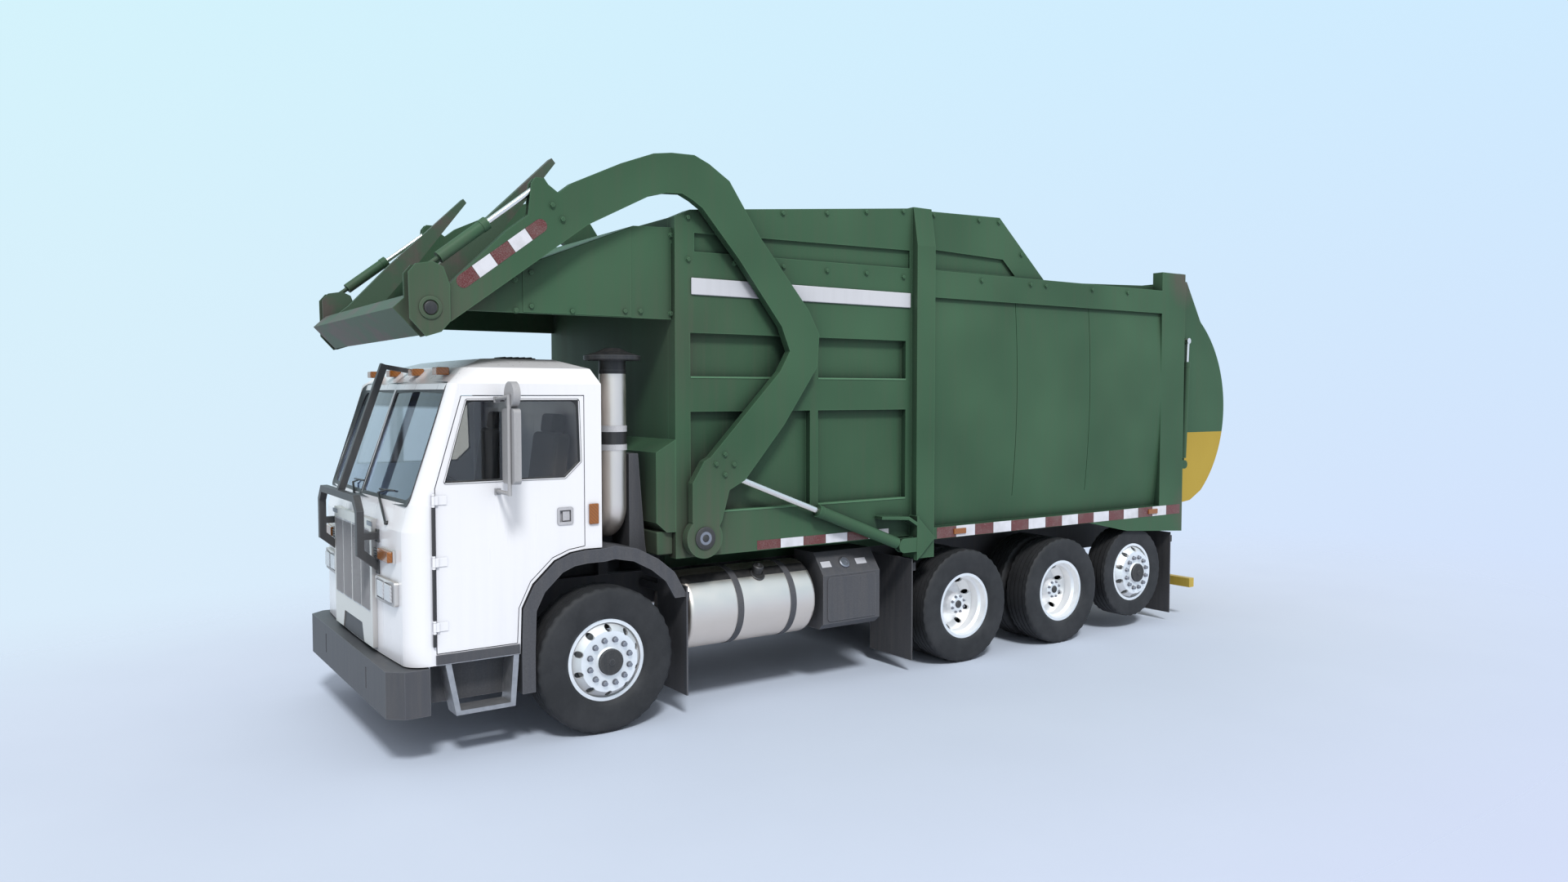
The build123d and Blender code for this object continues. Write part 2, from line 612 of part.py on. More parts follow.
def door():
    """Left door: the whole thickness of the side, with its window cut."""
    inner = CAB_HALF_WIDTH - CAB_WALL
    leaf = outline_prism(grown(DOOR, -DOOR_GAP), inner, CAB_HALF_WIDTH)
    leaf = leaf - outline_prism(grown(DOOR_WINDOW, 0), inner - 5, CAB_HALF_WIDTH + 5)
    groove_x = inner + 15
    leaf = leaf - outline_prism(grown(DOOR_WINDOW, 12), groove_x, groove_x + GLASS)
    leaf = door_handle(leaf)
    x, station = DOOR_HINGE
    for height in DOOR_HINGE_HEIGHTS:
        strap = block(CAB_HALF_WIDTH, CAB_HALF_WIDTH + 6, station + 12, station + 90, height, height + 60)
        strap = strap + block(CAB_HALF_WIDTH, x + 4, station + 12, station + 30, height, height + 60)
        strap = strap + block(x - 4, x + 4, station, station + 30, height, height + 60)
        knuckle_bar = bar((x, station, height), (x, station, height + 60), 11)
        bore = bar((x, station, height - 1), (x, station, height + 61), HINGE_PIN_R + PIN_GAP)
        leaf = leaf + strap + knuckle_bar - bore
    return leaf


def door_handle(leaf):
    """The leaf with its handle: a raised bezel around a pocket that holds the paddle."""
    out = CAB_HALF_WIDTH
    bezel = block(out - 2, out + 6, -372, -252, 1545, 1671)
    bezel = fillet(bezel.edges().filter_by(Axis.X), 18)
    pocket = block(out - 16, out + 10, -354, -270, 1567, 1649)
    paddle = block(out - 20, out - 2, -330, -278, 1575, 1641)
    return leaf + bezel - pocket + paddle


def door_hinges():
    """The cab's half of the left door's hinges: two ears and a pin at each height."""
    x, station = DOOR_HINGE
    hinges = []
    for height in DOOR_HINGE_HEIGHTS:
        pin = bar((x, station, height - 14), (x, station, height + 74), HINGE_PIN_R)
        for low in (height - 14, height + 62):
            ear = bar((x, station, low), (x, station, low + 12), 11)
            pin = pin + ear + block(CAB_HALF_WIDTH - 12, x, station - 11, station + 4, low, low + 12)
        hinges.append(pin)
    return fused(*hinges)


def door_glass():
    inner = CAB_HALF_WIDTH - CAB_WALL + 15
    return outline_prism(grown(DOOR_WINDOW, 12 - RUN_GAP), inner + RUN_GAP, inner + GLASS - RUN_GAP)


def windshield_prisms(shrink):
    """The two openings of the windshield, one each side of its mullion."""
    low, high = WINDSHIELD
    half = block(MULLION_HALF + shrink, WINDSHIELD_HALF - shrink, -1700, -1000, low + shrink,
                 high - shrink)
    return half + mirrored(half)


def cab_parts():
    """The shell, its front panel below the windshield, its roof and the windshield."""
    walls = cab_solid(0) - cab_solid(CAB_WALL)
    inner = CAB_HALF_WIDTH - CAB_WALL
    opening = outline_prism(grown(DOOR, 0), inner - 60, CAB_HALF_WIDTH + 60)
    walls = walls - opening - mirrored(opening) - windshield_prisms(0)
    front_zone = block(-1300, 1300, -1700, -1266, 500, WINDSHIELD[0])
    roof_zone = block(-1300, 1300, -1700, 100, 2580, 3000)
    grille_cut = block(-500, 500, -1700, -1350, 940, 1525)
    front = (walls & front_zone) - grille_cut
    roof = walls & roof_zone
    for x in (-880, -300, 300, 880):
        roof = roof + block(x - 50, x + 50, -1118, -1035, 2605, 2650)
    shell = walls - front_zone - roof_zone
    hinges = door_hinges()
    side_lamp = block(CAB_HALF_WIDTH - 5, CAB_HALF_WIDTH + 12, -122, -68, 1540, 1680)
    shell = fused(shell, hinges, mirrored(hinges), side_lamp, mirrored(side_lamp))
    glass = (cab_solid(14) - cab_solid(14 + GLASS)) & windshield_prisms(RUN_GAP)
    return shell, front, roof, glass


def grille():
    """Surround with four columns of mesh between upright bars, and the lamps beside it."""
    front, back = -1474, -1415
    surround = block(-GRILLE_HALF, GRILLE_HALF, front, back, 700, 1600)
    # x limits of the openings between the bars
    columns = [(40, 235), (300, 485)]
    for near, far in columns + [(-far, -near) for near, far in columns]:
        surround = surround - block(near, far, front - 5, front + 22, 955, 1515)
    mouth = [(-320, 690), (320, 690), (265, 830), (-265, 830)]
    surround = surround - end_prism(mouth, front - 5, front + 30)
    lamps = head_lamp() + turn_lamp()
    return (surround + lamps + mirrored(lamps)) - Pos(0, -RUN_GAP, 0) * cab_volume(0)


def head_lamp():
    """Left head lamp: a housing with a pocket for each of its two lamps."""
    low, high, back = 1055, 1220, -1400
    housing = plan_prism([(610, -1464), (1020, -1446), (1020, back), (610, back)], low, high)
    housing = fillet(housing.edges().filter_by(Axis.Y), 20)
    for x in (635, 820):
        housing = housing - block(x, x + 165, -1480, -1449, low + 20, high - 20)
    return housing


def turn_lamp():
    return plan_prism([(700, -1454), (970, -1438), (970, -1400), (700, -1400)], 1338, 1424)


def seat(x):
    """One seat: pedestal on the stepped floor, cushion and back."""
    pedestal = block(x - 170, x + 170, -600, -190, 1000, 1600) & cab_solid(CAB_WALL + RUN_GAP)
    cushion = block(x - 240, x + 240, -660, -150, 1600, 1700)
    back = side_prism([(-250, 1700), (-150, 1700), (-90, 2300), (-170, 2300)], x - 220, x + 220)
    return fused(pedestal, cushion, back)


def dashboard():
    """Instrument panel across the cab with the steering column and wheel."""
    panel = side_prism([(-1400, 1400), (-1150, 1450), (-1120, 1620), (-1200, 1700), (-1380, 1700)],
                       -1140, 1140) & cab_solid(CAB_WALL + RUN_GAP)
    hub = (600, -870, 1790)
    column = bar((600, -1170, 1560), hub, 32)
    wheel_plane = Plane(origin=hub, z_dir=Vector(0, 0.55, 0.8))
    ring = wheel_plane * Torus(225, 16)
    spoke = wheel_plane * Box(440, 36, 14)
    return fused(panel, column, ring, spoke)


def mirror_set():
    """Left mirrors on the door: tubular bracket, tall flat glass and round convex glass."""
    x, station = CAB_HALF_WIDTH, -800
    outer, low, high, tube = x + 230, 1808, 2452, 14
    bracket = bar((x - 20, station, high - 20), (outer, station, high), tube)
    bracket = bracket + bar((x - 20, station, low), (outer, station, low), tube)
    bracket = bracket + bar((outer, station, low - tube), (outer, station, high + tube), tube)
    bracket = bracket - block(x - 60, x, station - 60, station + 60, 1700, 2600)
    for height in (low, high - 20):
        bracket = bracket + block(x, x + 6, station - 22, station + 22, height - 22, height + 20)
    tall = block(x + 70, x + 290, station + 10, station + 60, 1870, 2372)
    tall = fillet(tall.edges().filter_by(Axis.Y), 30)
    round_mirror = bar((x + 205, station + 8, 2464), (x + 205, station + 58, 2464), 88)
    return fused(bracket, tall, round_mirror)


def cab_guard():
    """Square tube hoop ahead of the grille, and the upright that keeps the forks off the glass."""
    half, rear = GUARD_TUBE / 2, GUARD_FRONT + GUARD_TUBE
    middle = GUARD_FRONT + half
    out, wall = GUARD_X + half, GUARD_X - half
    outer = [(-out, 1355), (-out, 1665), (-515, 1770), (515, 1770), (out, 1665), (out, 1355)]
    inner = [(-wall, 1300), (-wall, 1646), (-492, 1720), (492, 1720), (wall, 1646), (wall, 1300)]
    guard = end_prism(outer, GUARD_FRONT, rear) - end_prism(inner, GUARD_FRONT - 5, rear + 5)
    foot = side_prism([(GUARD_FRONT, 1358), (GUARD_FRONT + 40, 1410), (rear, 1395), (-1400, 1275),
                       (-1400, 1205)], wall, out)
    foot = foot + block(wall, out, rear - 5, -1400, 1465, 1515)
    for height in (1270, 1490):
        foot = foot + block(wall - 4, out + 20, -1447, -1400, height - 45, height + 45)
    guard = fused(guard, foot, mirrored(foot))
    guard = guard + square_bar((0, middle, 1740), (0, -1226, 2690), GUARD_TUBE)
    guard = guard + square_bar((0, -1240, 2675), (0, -1000, 2635), 34)
    return guard - Pos(0, -RUN_GAP, RUN_GAP) * cab_volume(0)


# ---------------------------------------------------------------- body
def body_side():
    """Left side of the hopper and the load space, with its posts, beams and recesses."""
    inner = BODY_INNER_X
    post = block(HOPPER_INNER_X, POST_HALF_WIDTH, POST_FRONT, POST_REAR, BODY_BOTTOM, 4100)
    bevel = [(POST_HALF_WIDTH + 5, 3735), (POST_HALF_WIDTH + 5, 4110), (HOPPER_HALF_WIDTH + 12, 4110)]
    post = post - end_prism(bevel, POST_FRONT - 10, POST_REAR + 10)
    lip = end_prism([(inner, 1275), (BODY_HALF_WIDTH - 80, 1275), (BODY_HALF_WIDTH - 55, FLOOR_TOP),
                     (inner, FLOOR_TOP)], POST_REAR, REAR_POST_FRONT)
    light_rail = block(inner, BODY_HALF_WIDTH, POST_REAR, REAR_POST_FRONT, 1170, 1275)
    beam = block(inner, BODY_HALF_WIDTH, POST_REAR, REAR_POST_FRONT, 3325, 3565)
    hood = side_prism([(POST_REAR, 3560), (POST_REAR, 4084), (4040, 4110), (4664, 3560)],
                      inner, HOPPER_HALF_WIDTH)
    hood = hood - side_prism([(POST_REAR, 3580), (4254, 3580), (4087, 3726), (POST_REAR, 3752)],
                             HOPPER_HALF_WIDTH - 25, HOPPER_HALF_WIDTH + 5)
    rear_post = block(inner, BODY_HALF_WIDTH, REAR_POST_FRONT, BODY_REAR, BODY_BOTTOM, 3760)
    skirt = side_prism([(BODY_REAR - 1590, 1180), (BODY_REAR - 940, 1045), (BODY_REAR, 977),
                        (BODY_REAR, 1180)], BODY_HALF_WIDTH - 25, BODY_HALF_WIDTH)
    return fused(hopper_side(), post, side_panel(), lip, light_rail, beam, hood, rear_post, skirt,
                 tailgate_ear(), cylinder_ears(TAIL_CYL_FOOT, TAIL_CYL_X, BODY_REAR - 20, 46),
                 lift_bracket())


def hopper_side():
    """Side wall of the hopper: four deep recesses, and a shallow channel that falls forwards."""
    inner, outer = HOPPER_INNER_X, HOPPER_HALF_WIDTH
    wall = side_prism([(HOPPER_FRONT, 1220), (POST_FRONT, 1220), (POST_FRONT, 4090),
                       (720, 3860), (HOPPER_FRONT, 3800)], inner, outer)
    # front, rear, bottom, top
    for front, rear, low, high in [(720, 1850, 1560, 2335), (1930, 2890, 1560, 2335),
                                   (720, 1850, 2600, 2934), (1930, 2890, 2600, 2934)]:
        wall = wall - block(outer - 60, outer + 10, front, rear, low, high)
    channel = [(758, 3548), (2930, 3567), (2930, 3722), (758, 3689)]
    wall = wall - side_prism(channel, outer - 25, outer + 10)
    return wall - cross_bar(ARM_PIVOT, TORQUE_TUBE_R + PIN_GAP, inner - 10, outer + 10)


def bowed_face(inner_shift, outer_shift):
    """End face of the bowed side panel between two lines that follow the bow."""
    low, middle, high = BODY_HALF_WIDTH - 55, BODY_HALF_WIDTH, BODY_HALF_WIDTH - 32
    top = 3330
    outer = ThreePointArc((low + outer_shift, FLOOR_TOP), (middle + outer_shift, 2410),
                          (high + outer_shift, top))
    inner = ThreePointArc((low + inner_shift, FLOOR_TOP), (middle + inner_shift, 2410),
                          (high + inner_shift, top))
    return make_face([outer, inner, Line((low + inner_shift, FLOOR_TOP), (low + outer_shift, FLOOR_TOP)),
                      Line((high + inner_shift, top), (high + outer_shift, top))])


def side_panel():
    """Bowed side of the load space, with the two seams between its sheets."""
    length = REAR_POST_FRONT - POST_REAR
    panel = extrude(Plane.XZ.offset(-REAR_POST_FRONT) * bowed_face(-60, 0), amount=length)
    for share in (0.33, 0.65):
        station = POST_REAR + share * length
        panel = panel - extrude(Plane.XZ.offset(-station) * bowed_face(-8, 8), amount=9)
    return panel


def tailgate_ear():
    """Left ear that carries the tailgate's hinge pin."""
    inner = TAILGATE_HALF_WIDTH + 5
    station, height = TAILGATE_HINGE
    ear = side_prism([(BODY_REAR - 20, height - 80), (station + 35, height - 40),
                      (station + 35, height + 40), (BODY_REAR - 20, height + 40)],
                     inner, inner + 20)
    return ear - cross_bar(TAILGATE_HINGE, TAILGATE_PIN_R + PIN_GAP, inner - 5, inner + 25)


def lift_bracket():
    """Left foot of a lift cylinder: its ears, a ledge above them and a gusset on the post."""
    ears = cylinder_ears(LIFT_FOOT, CYLINDER_X, POST_FRONT - 15, 62)
    seat_plate = block(BODY_INNER_X, ARM_OUTER_X, POST_FRONT - 20, POST_FRONT, 1080, 1400)
    ledge = side_prism([(2540, 1422), (2848, 1401), (POST_FRONT, 1335), (POST_FRONT, 1305),
                        (2840, 1375), (2540, 1397)], HOPPER_HALF_WIDTH - 10, ARM_OUTER_X)
    gusset = side_prism([(POST_FRONT - 20, 1400), (POST_FRONT - 20, 1010), (POST_REAR - 20, 1196)],
                        POST_HALF_WIDTH - 10, ARM_OUTER_X)
    return fused(ears, seat_plate, ledge, gusset)


def cylinder_ears(pin, x, root_station, radius):
    """Two ears and a pin that hold a cylinder's eye, reaching from a post's face."""
    station, height = pin
    ears = None
    for x_low in (x - EYE_WIDTH / 2 - 14, x + EYE_WIDTH / 2 + 2):
        near, far = sorted((station, root_station))
        ear = block(x_low, x_low + 12, near, far, height - radius, height + radius)
        ear = ear + cross_bar(pin, radius, x_low, x_low + 12)
        ears = ear if ears is None else ears + ear
    return ears + cross_bar(pin, 22, x - EYE_WIDTH / 2 - 14, x + EYE_WIDTH / 2 + 14)


def body_floor():
    """Floor plate on two long sills with cross bearers."""
    hopper, body = HOPPER_INNER_X, BODY_INNER_X
    right = [(hopper, HOPPER_FRONT + FRONT_WALL), (hopper, POST_REAR), (body, POST_REAR),
             (body, BODY_REAR)]
    left = [(-px, py) for px, py in reversed(right)]
    under = FLOOR_TOP - FLOOR_PLATE
    plate = plan_prism(right + left, under, FLOOR_TOP)
    sill = block(RAIL_OUTER_X - RAIL_FLANGE, RAIL_OUTER_X, 900, BODY_REAR - 20, RAIL_TOP, under)
    plate = plate + sill + mirrored(sill)
    bearers = 8
    pitch = (BODY_REAR - 160 - 1300) / (bearers - 1)
    for number in range(bearers):
        station = 1300 + number * pitch
        plate = plate + block(-hopper, hopper, station, station + 80, under - 150, under)
    return plate + block(-hopper, hopper, 900, 960, 1240, under)


def body_roof():
    """Hood behind the hopper, its slope and the roof of the load space."""
    t = ROOF_PLATE
    outline = [(POST_REAR, 4084), (4040, 4110), (4664, 3560), (BODY_REAR, 3640),
               (BODY_REAR, 3640 - t), (4680, 3560 - t), (4020, 4110 - t), (POST_REAR, 4084 - t)]
    return side_prism(outline, -BODY_INNER_X, BODY_INNER_X)


def hopper_front():
    """Front wall of the hopper, and the shoulder that stands out below it."""
    inner, front = HOPPER_INNER_X, HOPPER_FRONT
    wall = block(-inner, inner, front, front + FRONT_WALL, FLOOR_TOP - 20, 3800)
    wide, nose = HOPPER_HALF_WIDTH, front - 150
    profile = [(front, 2125), (nose, 2031), (nose, 1500), (nose + 80, 1425), (front, 1425)]
    shoulder = side_prism(profile, -wide, wide) & plan_prism(
        [(-wide, front), (30 - wide, nose), (wide - 30, nose), (wide, front)], 1400, 2200)
    return wall + shoulder


def canopy():
    """Hood over the cab's roof: sloping top sheet, two sides and cross ribs."""
    wide, rear, sheet = HOPPER_HALF_WIDTH - 50, HOPPER_FRONT - 5, 14
    crest = [(-1090, 2985), (-550, 3370), (270, 3705), (rear, 3720)]
    under = [(rear, 3720 - sheet), (275, 3691), (-543, 3357), (-1078, 2975)]
    roof = side_prism(crest + under, -wide, wide)
    side = side_prism(crest + [(rear, 3030), (-1020, 3030)], wide - 30, wide)
    shell = fused(roof, side, mirrored(side))
    for station, height in [(-560, 3358), (250, 3690)]:
        shell = shell + block(-wide + 25, wide - 25, station - 20, station + 20, height - 110, height)
    return shell + block(-wide, wide, rear - 14, HOPPER_FRONT, 3600, 3720 - sheet)


def packer_blade():
    """Wedge that pushes refuse back from the hopper; it slides on the floor."""
    half = HOPPER_INNER_X - 20
    floor = FLOOR_TOP + RUN_GAP
    skin = side_prism([(660, floor), (1120, floor), (1120, 2300), (940, 2620), (660, 2620)],
                      -half, half)
    hollow = side_prism([(650, floor + 60), (1080, floor + 60), (1080, 2290), (910, 2580),
                         (650, 2580)], -half + 30, half - 30)
    return skin - hollow


def tailgate():
    """Bulging tailgate: curved skin and side plates, open towards the load space."""
    seam, wall, half = TAILGATE_SEAM, TAILGATE_WALL, TAILGATE_HALF_WIDTH
    arc = ThreePointArc((seam + 427, 3270), (seam + TAILGATE_BULGE, 2400), (seam + 480, 1390))
    rest = Polyline((seam + 480, 1390), (seam + 282, 1290), (seam, 1260), (seam, 3690),
                    (seam + 162, 3700), (seam + 427, 3270))
    inner_arc = ThreePointArc((seam + 407, 3225), (seam + TAILGATE_BULGE - wall, 2400),
                              (seam + 462, 1425))
    inner_rest = Polyline((seam + 462, 1425), (seam + 272, 1322), (seam - 50, 1292),
                          (seam - 50, 3656), (seam + 142, 3662), (seam + 407, 3225))
    shell = outline_prism(make_face([arc, rest]), -half, half)
    shell = shell - outline_prism(make_face([inner_arc, inner_rest]), -half + wall, half - wall)
    station, height = TAILGATE_HINGE
    hinge = cross_bar(TAILGATE_HINGE, 40, half - 160, half)
    pin = cross_bar(TAILGATE_HINGE, TAILGATE_PIN_R, half - 160, half + 32)
    web = side_prism([(station - 38, 3680), (station - 38, height), (station + 38, height),
                      (station + 90, 3690)], half - 160, half)
    boss = cross_bar(TAIL_CYL_EYE, 34, half - 10, TAIL_CYL_X - EYE_WIDTH / 2 - 1)
    for piece in (hinge, pin, web, boss):
        shell = shell + piece + mirrored(piece)
    return shell


# ---------------------------------------------------------------- loader
ARM_OUTLINE = [(783, 1218), (937, 1500), (1004, 1730), (1146, 1799), (1518, 2225), (1842, 2684),
               (1866, 2949), (1759, 3143), (1286, 3691), (1010, 4087), (830, 4195), (703, 4245),
               (509, 4238), (361, 4214), (99, 4111), (-276, 3930), (-750, 3560), (-1150, 3170),
               (-1230, 2950), (-1128, 2940), (-579, 3342), (-163, 3650), (326, 3904),
               (460, 3942), (597, 3951), (687, 3912), (772, 3860), (1097, 3501), (1495, 3002),
               (1574, 2810), (1479, 2647), (836, 1988), (779, 1959), (678, 1796), (677, 1500)]

# Slot between the arm's two side plates, open to the rear, where the lift cylinder's rod
# reaches its pin.
ARM_POCKET = [(1010, 1560), (720, 1560), (722, 1785), (812, 1925), (858, 1945), (1300, 2400),
              (1700, 2400), (1250, 1750)]


def lift_arms():
    """Two swept arms on a torque tube behind the cab, with lugs for both cylinders."""
    arm = side_prism(ARM_OUTLINE, ARM_INNER_X, ARM_OUTER_X)
    arm = arm + cross_bar(ARM_PIVOT, 155, ARM_INNER_X, ARM_OUTER_X)
    arm = arm + cross_bar(FORK_PIVOT, 100, ARM_INNER_X, ARM_OUTER_X)
    arm = arm - cross_bar(FORK_PIVOT, FORK_PIN_R + PIN_GAP, ARM_INNER_X - 5, ARM_OUTER_X + 5)
    arm = arm - side_prism(ARM_POCKET, ARM_INNER_X + ARM_PLATE, ARM_OUTER_X - ARM_PLATE)
    ears = [(-600, 3650), (-570, 3900), (-540, 3940), (-480, 3940), (-450, 3900), (-330, 3820)]
    arm = arm + side_prism(ears, ARM_INNER_X, CYLINDER_X - SLOT_HALF)
    arm = arm + side_prism(ears, CYLINDER_X + SLOT_HALF, ARM_OUTER_X)
    tube = cross_bar(ARM_PIVOT, TORQUE_TUBE_R, -ARM_INNER_X, ARM_INNER_X)
    return fused(tube, arm, mirrored(arm))


def fork_carriage():
    """Box beam between the arms, two tapered forks and the lugs of the fork cylinders."""
    inner = ARM_INNER_X - 16
    beam = side_prism([(-1475, 3020), (-1310, 2848), (-1216, 2938), (-1381, 3110)], -inner, inner)
    tine = side_prism([(-1440, 3030), (-1253, 3187), (-924, 3542), (-305, 4147), (-277, 4115),
                       (-703, 3560), (-975, 3234), (-1260, 2950)], *FORK_X)
    # x limits of the lug plates beside the arm
    plates = [(inner - 16, inner), (ARM_OUTER_X + 16, ARM_OUTER_X + 28)]
    outline = [(-1405, 3244), (-1358, 3300), (-1250, 3320), (-1182, 3290), (-1140, 3171),
               (-1140, 2940), (-1200, 2870), (-1298, 2838), (-1400, 2950)]
    carriage = beam
    for side in (-1, 1):
        pieces = [tine, cross_bar(FORK_PIVOT, FORK_PIN_R, plates[0][0], plates[1][1]),
                  cross_bar(FORK_CYL_BASE, 20, plates[0][0], plates[1][1])]
        pieces = pieces + [side_prism(outline, low, high) for low, high in plates]
        for piece in pieces:
            carriage = carriage + (piece if side > 0 else mirrored(piece))
    return carriage


def cylinder(foot, eye, x, barrel_r, rod_r, barrel_end, neck, rod_start, foot_pin):
    """Barrel and rod of a hydraulic cylinder between two pins, as two solids.

    The barrel's eye runs on the foot pin. The rod's eye ends in a short pin of its own.
    Lengths are measured along the cylinder from the foot: the neck ends where the barrel
    starts, and the rod starts inside the bore.
    """
    half = EYE_WIDTH / 2
    start, tip = towards(foot, eye, neck), towards(foot, eye, barrel_end)
    barrel = bar((x, *start), (x, *tip), barrel_r)
    gland = towards(foot, eye, barrel_end - 50)
    barrel = barrel + bar((x, *gland), (x, *tip), barrel_r + 4)
    barrel = barrel + bar((x, *foot), (x, *start), half - 1)
    barrel = barrel + cross_bar(foot, foot_pin + 18, x - half, x + half)
    barrel = barrel - cross_bar(foot, foot_pin + PIN_GAP, x - 100, x + 100)
    bore_start = towards(foot, eye, neck + 15)
    bore_end = towards(foot, eye, barrel_end + 5)
    barrel = barrel - bar((x, *bore_start), (x, *bore_end), rod_r + PIN_GAP)
    inner_end = towards(foot, eye, rod_start)
    rod = bar((x, *inner_end), (x, *eye), rod_r)
    rod = rod + cross_bar(eye, rod_r + 14, x - half, x + half)
    return barrel, rod


def make_cylinders():
    # name, foot pin, rod eye, x, barrel radius, rod radius, barrel's end, barrel's start,
    # rod's start, foot pin radius
    table = [
        ("lift", LIFT_FOOT, LIFT_EYE, CYLINDER_X, 50, 27, 1000, 80, 465, 22),
        ("fork", FORK_CYL_BASE, FORK_CYL_EYE, CYLINDER_X, 41, 20, 545, 135, 160, 20),
        ("tailgate", TAIL_CYL_FOOT, TAIL_CYL_EYE, TAIL_CYL_X, 36, 18, 1120, 70, 100, 22),
    ]
    for name, *sizes in table:
        barrel, rod = cylinder(*sizes)
        save(f"{name}_cylinder_barrels", barrel, mirrored(barrel))
        save(f"{name}_cylinder_rods", rod, mirrored(rod))


def main():
    os.makedirs("parts", exist_ok=True)
    make_wheels()
    save("front_axle", front_axle())
    save("rear_axles", drive_bogie(), tag_axle())
    save("knuckle_left", knuckle())
    save("knuckle_right", mirrored(knuckle()))
    save("tie_rod", tie_rod())
    save("ladder_frame", ladder_frame())
    save("front_bumper", front_bumper())
    save("engine_block", engine_block())
    tank, box = fuel_tank(), battery_box()
    save("fuel_tanks", tank, mirrored(tank))
    save("side_boxes", box, mirrored(box))
    fender, step = front_fender(), cab_step()
    save("front_fenders", fender, mirrored(fender))
    save("cab_steps", step, mirrored(step))
    flap_x = BODY_HALF_WIDTH - 30
    flaps = [mudflap(2940, 640, flap_x + 25, 110, 1015), mudflap(RAIL_REAR - 150, 640, flap_x, 90, 970)]
    save("mudflaps", *flaps, *[mirrored(flap) for flap in flaps])
    save("air_stack", air_stack())
    save("rear_guard", rear_guard())
    shell, front, roof, glass = cab_parts()
    save("cab_shell", shell)
    save("cab_front", front)
    save("cab_roof", roof)
    save("windshield", glass)
    save("door_left", door())
    save("door_right", mirrored(door()))
    save("door_glass_left", door_glass())
    save("door_glass_right", mirrored(door_glass()))
    save("mirrors_left", mirror_set())
    save("mirrors_right", mirrored(mirror_set()))
    save("grille", grille())
    save("seats", seat(600), seat(-600))
    save("dashboard", dashboard())
    save("cab_guard", cab_guard())
    side = body_side()
    save("body_sides", side, mirrored(side))
    save("body_floor", body_floor())
    save("body_roof", body_roof())
    save("hopper_front", hopper_front())
    save("canopy", canopy())
    save("packer_blade", packer_blade())
    save("tailgate", tailgate())
    save("lift_arms", lift_arms())
    save("fork_carriage", fork_carriage())
    make_cylinders()


if __name__ == "__main__":
    main()
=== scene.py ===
"""Looks of a front loader garbage truck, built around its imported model.

Lengths are metres in the frame: +Z is up, +Y runs rearwards and +X is the driver's side.
A station is counted rearwards from the front axle.
"""
import itertools
import math

import bmesh
import bpy
from bpy.props import FloatProperty, FloatVectorProperty, IntProperty, PointerProperty
from mathutils import Matrix, Vector
from mathutils.bvhtree import BVHTree


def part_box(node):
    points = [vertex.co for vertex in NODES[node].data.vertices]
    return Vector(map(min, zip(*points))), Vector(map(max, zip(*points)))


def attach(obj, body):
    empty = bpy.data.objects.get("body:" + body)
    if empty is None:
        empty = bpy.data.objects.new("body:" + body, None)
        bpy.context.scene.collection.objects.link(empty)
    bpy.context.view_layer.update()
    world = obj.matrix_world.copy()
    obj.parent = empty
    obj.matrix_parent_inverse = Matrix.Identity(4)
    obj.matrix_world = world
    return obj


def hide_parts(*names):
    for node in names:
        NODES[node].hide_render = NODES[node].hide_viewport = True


bl_info = {
    "name": "Front loader garbage truck",
    "version": (1, 0, 0),
    "blender": (4, 5, 0),
    "location": "View3D > Sidebar > Truck",
    "description": "Adds tyres, lamps, trim and finishes to the packed truck",
    "category": "Object",
}

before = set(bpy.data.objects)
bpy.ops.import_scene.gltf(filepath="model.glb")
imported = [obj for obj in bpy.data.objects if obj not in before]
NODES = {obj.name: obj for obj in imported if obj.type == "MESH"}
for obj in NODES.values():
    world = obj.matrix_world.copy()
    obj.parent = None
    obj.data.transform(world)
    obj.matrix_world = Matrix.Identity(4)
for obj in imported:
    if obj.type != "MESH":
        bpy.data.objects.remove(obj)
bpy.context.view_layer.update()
SIDES = (("left", 1), ("right", -1))
WHEELS = ("front", "drive_front", "drive_rear", "tag")


def middle(node):
    """The middle of a node's box."""
    low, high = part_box(node)
    return (low + high) / 2


AXLE_Y = middle("front_tyre_left").y
CAB_X = 1.2                 # outer face of the doors
FLOOR_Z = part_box("front_tyre_left")[0].z


def linear(code):
    """An sRGB hex colour as the linear values that shaders take."""
    values = [int(code[i:i + 2], 16) / 255 for i in (1, 3, 5)]
    return tuple(v / 12.92 if v < 0.04045 else ((v + 0.055) / 1.055) ** 2.4 for v in values)


def per(millimetres):
    """Noise scale that makes one feature as large as a real size."""
    return 1000 / millimetres


# ------------------------------------------------------------------ properties
def colour(title, about, code):
    return FloatVectorProperty(name=title, description=about, subtype="COLOR", size=3,
                               min=0, max=1, default=linear(code))


def length(title, about, value):
    return FloatProperty(name=title, description=about, unit="LENGTH", default=value, min=0)


class TruckColours(bpy.types.PropertyGroup):
    cab: colour("Cab", "Enamel of the cab and doors", "#EEEEF0")
    body: colour("Body", "Enamel of the body, arms and tailgate", "#38563F")
    # body_shade is the enamel's painted shade in recesses; body_highlight is its painted
    # highlight along edges and over the ledges, also standing for worn paint
    body_shade: colour("Body shade", "The same enamel in recesses", "#213227")
    body_highlight: colour("Body edge", "The same enamel where edges are rubbed", "#517659")
    grime: colour("Grime", "Dried dirt on the hopper and arms", "#57544B")
    forks: colour("Forks", "Worn steel of the fork carriage", "#4A453F")
    charcoal: colour("Charcoal", "Bumper, frame and fenders", "#46474C")
    guard: colour("Guard", "Powder coat of the cab guard", "#3A3B3D")
    warning: colour("Warning yellow", "Lower tailgate and rear bar", "#B49A40")
    red: colour("Stripe red", "Red of the reflective tape", "#5E201B")
    white: colour("Stripe white", "White of the reflective tape", "#DADBE2")
    amber: colour("Amber", "Marker and turn lamps", "#9A5A12")


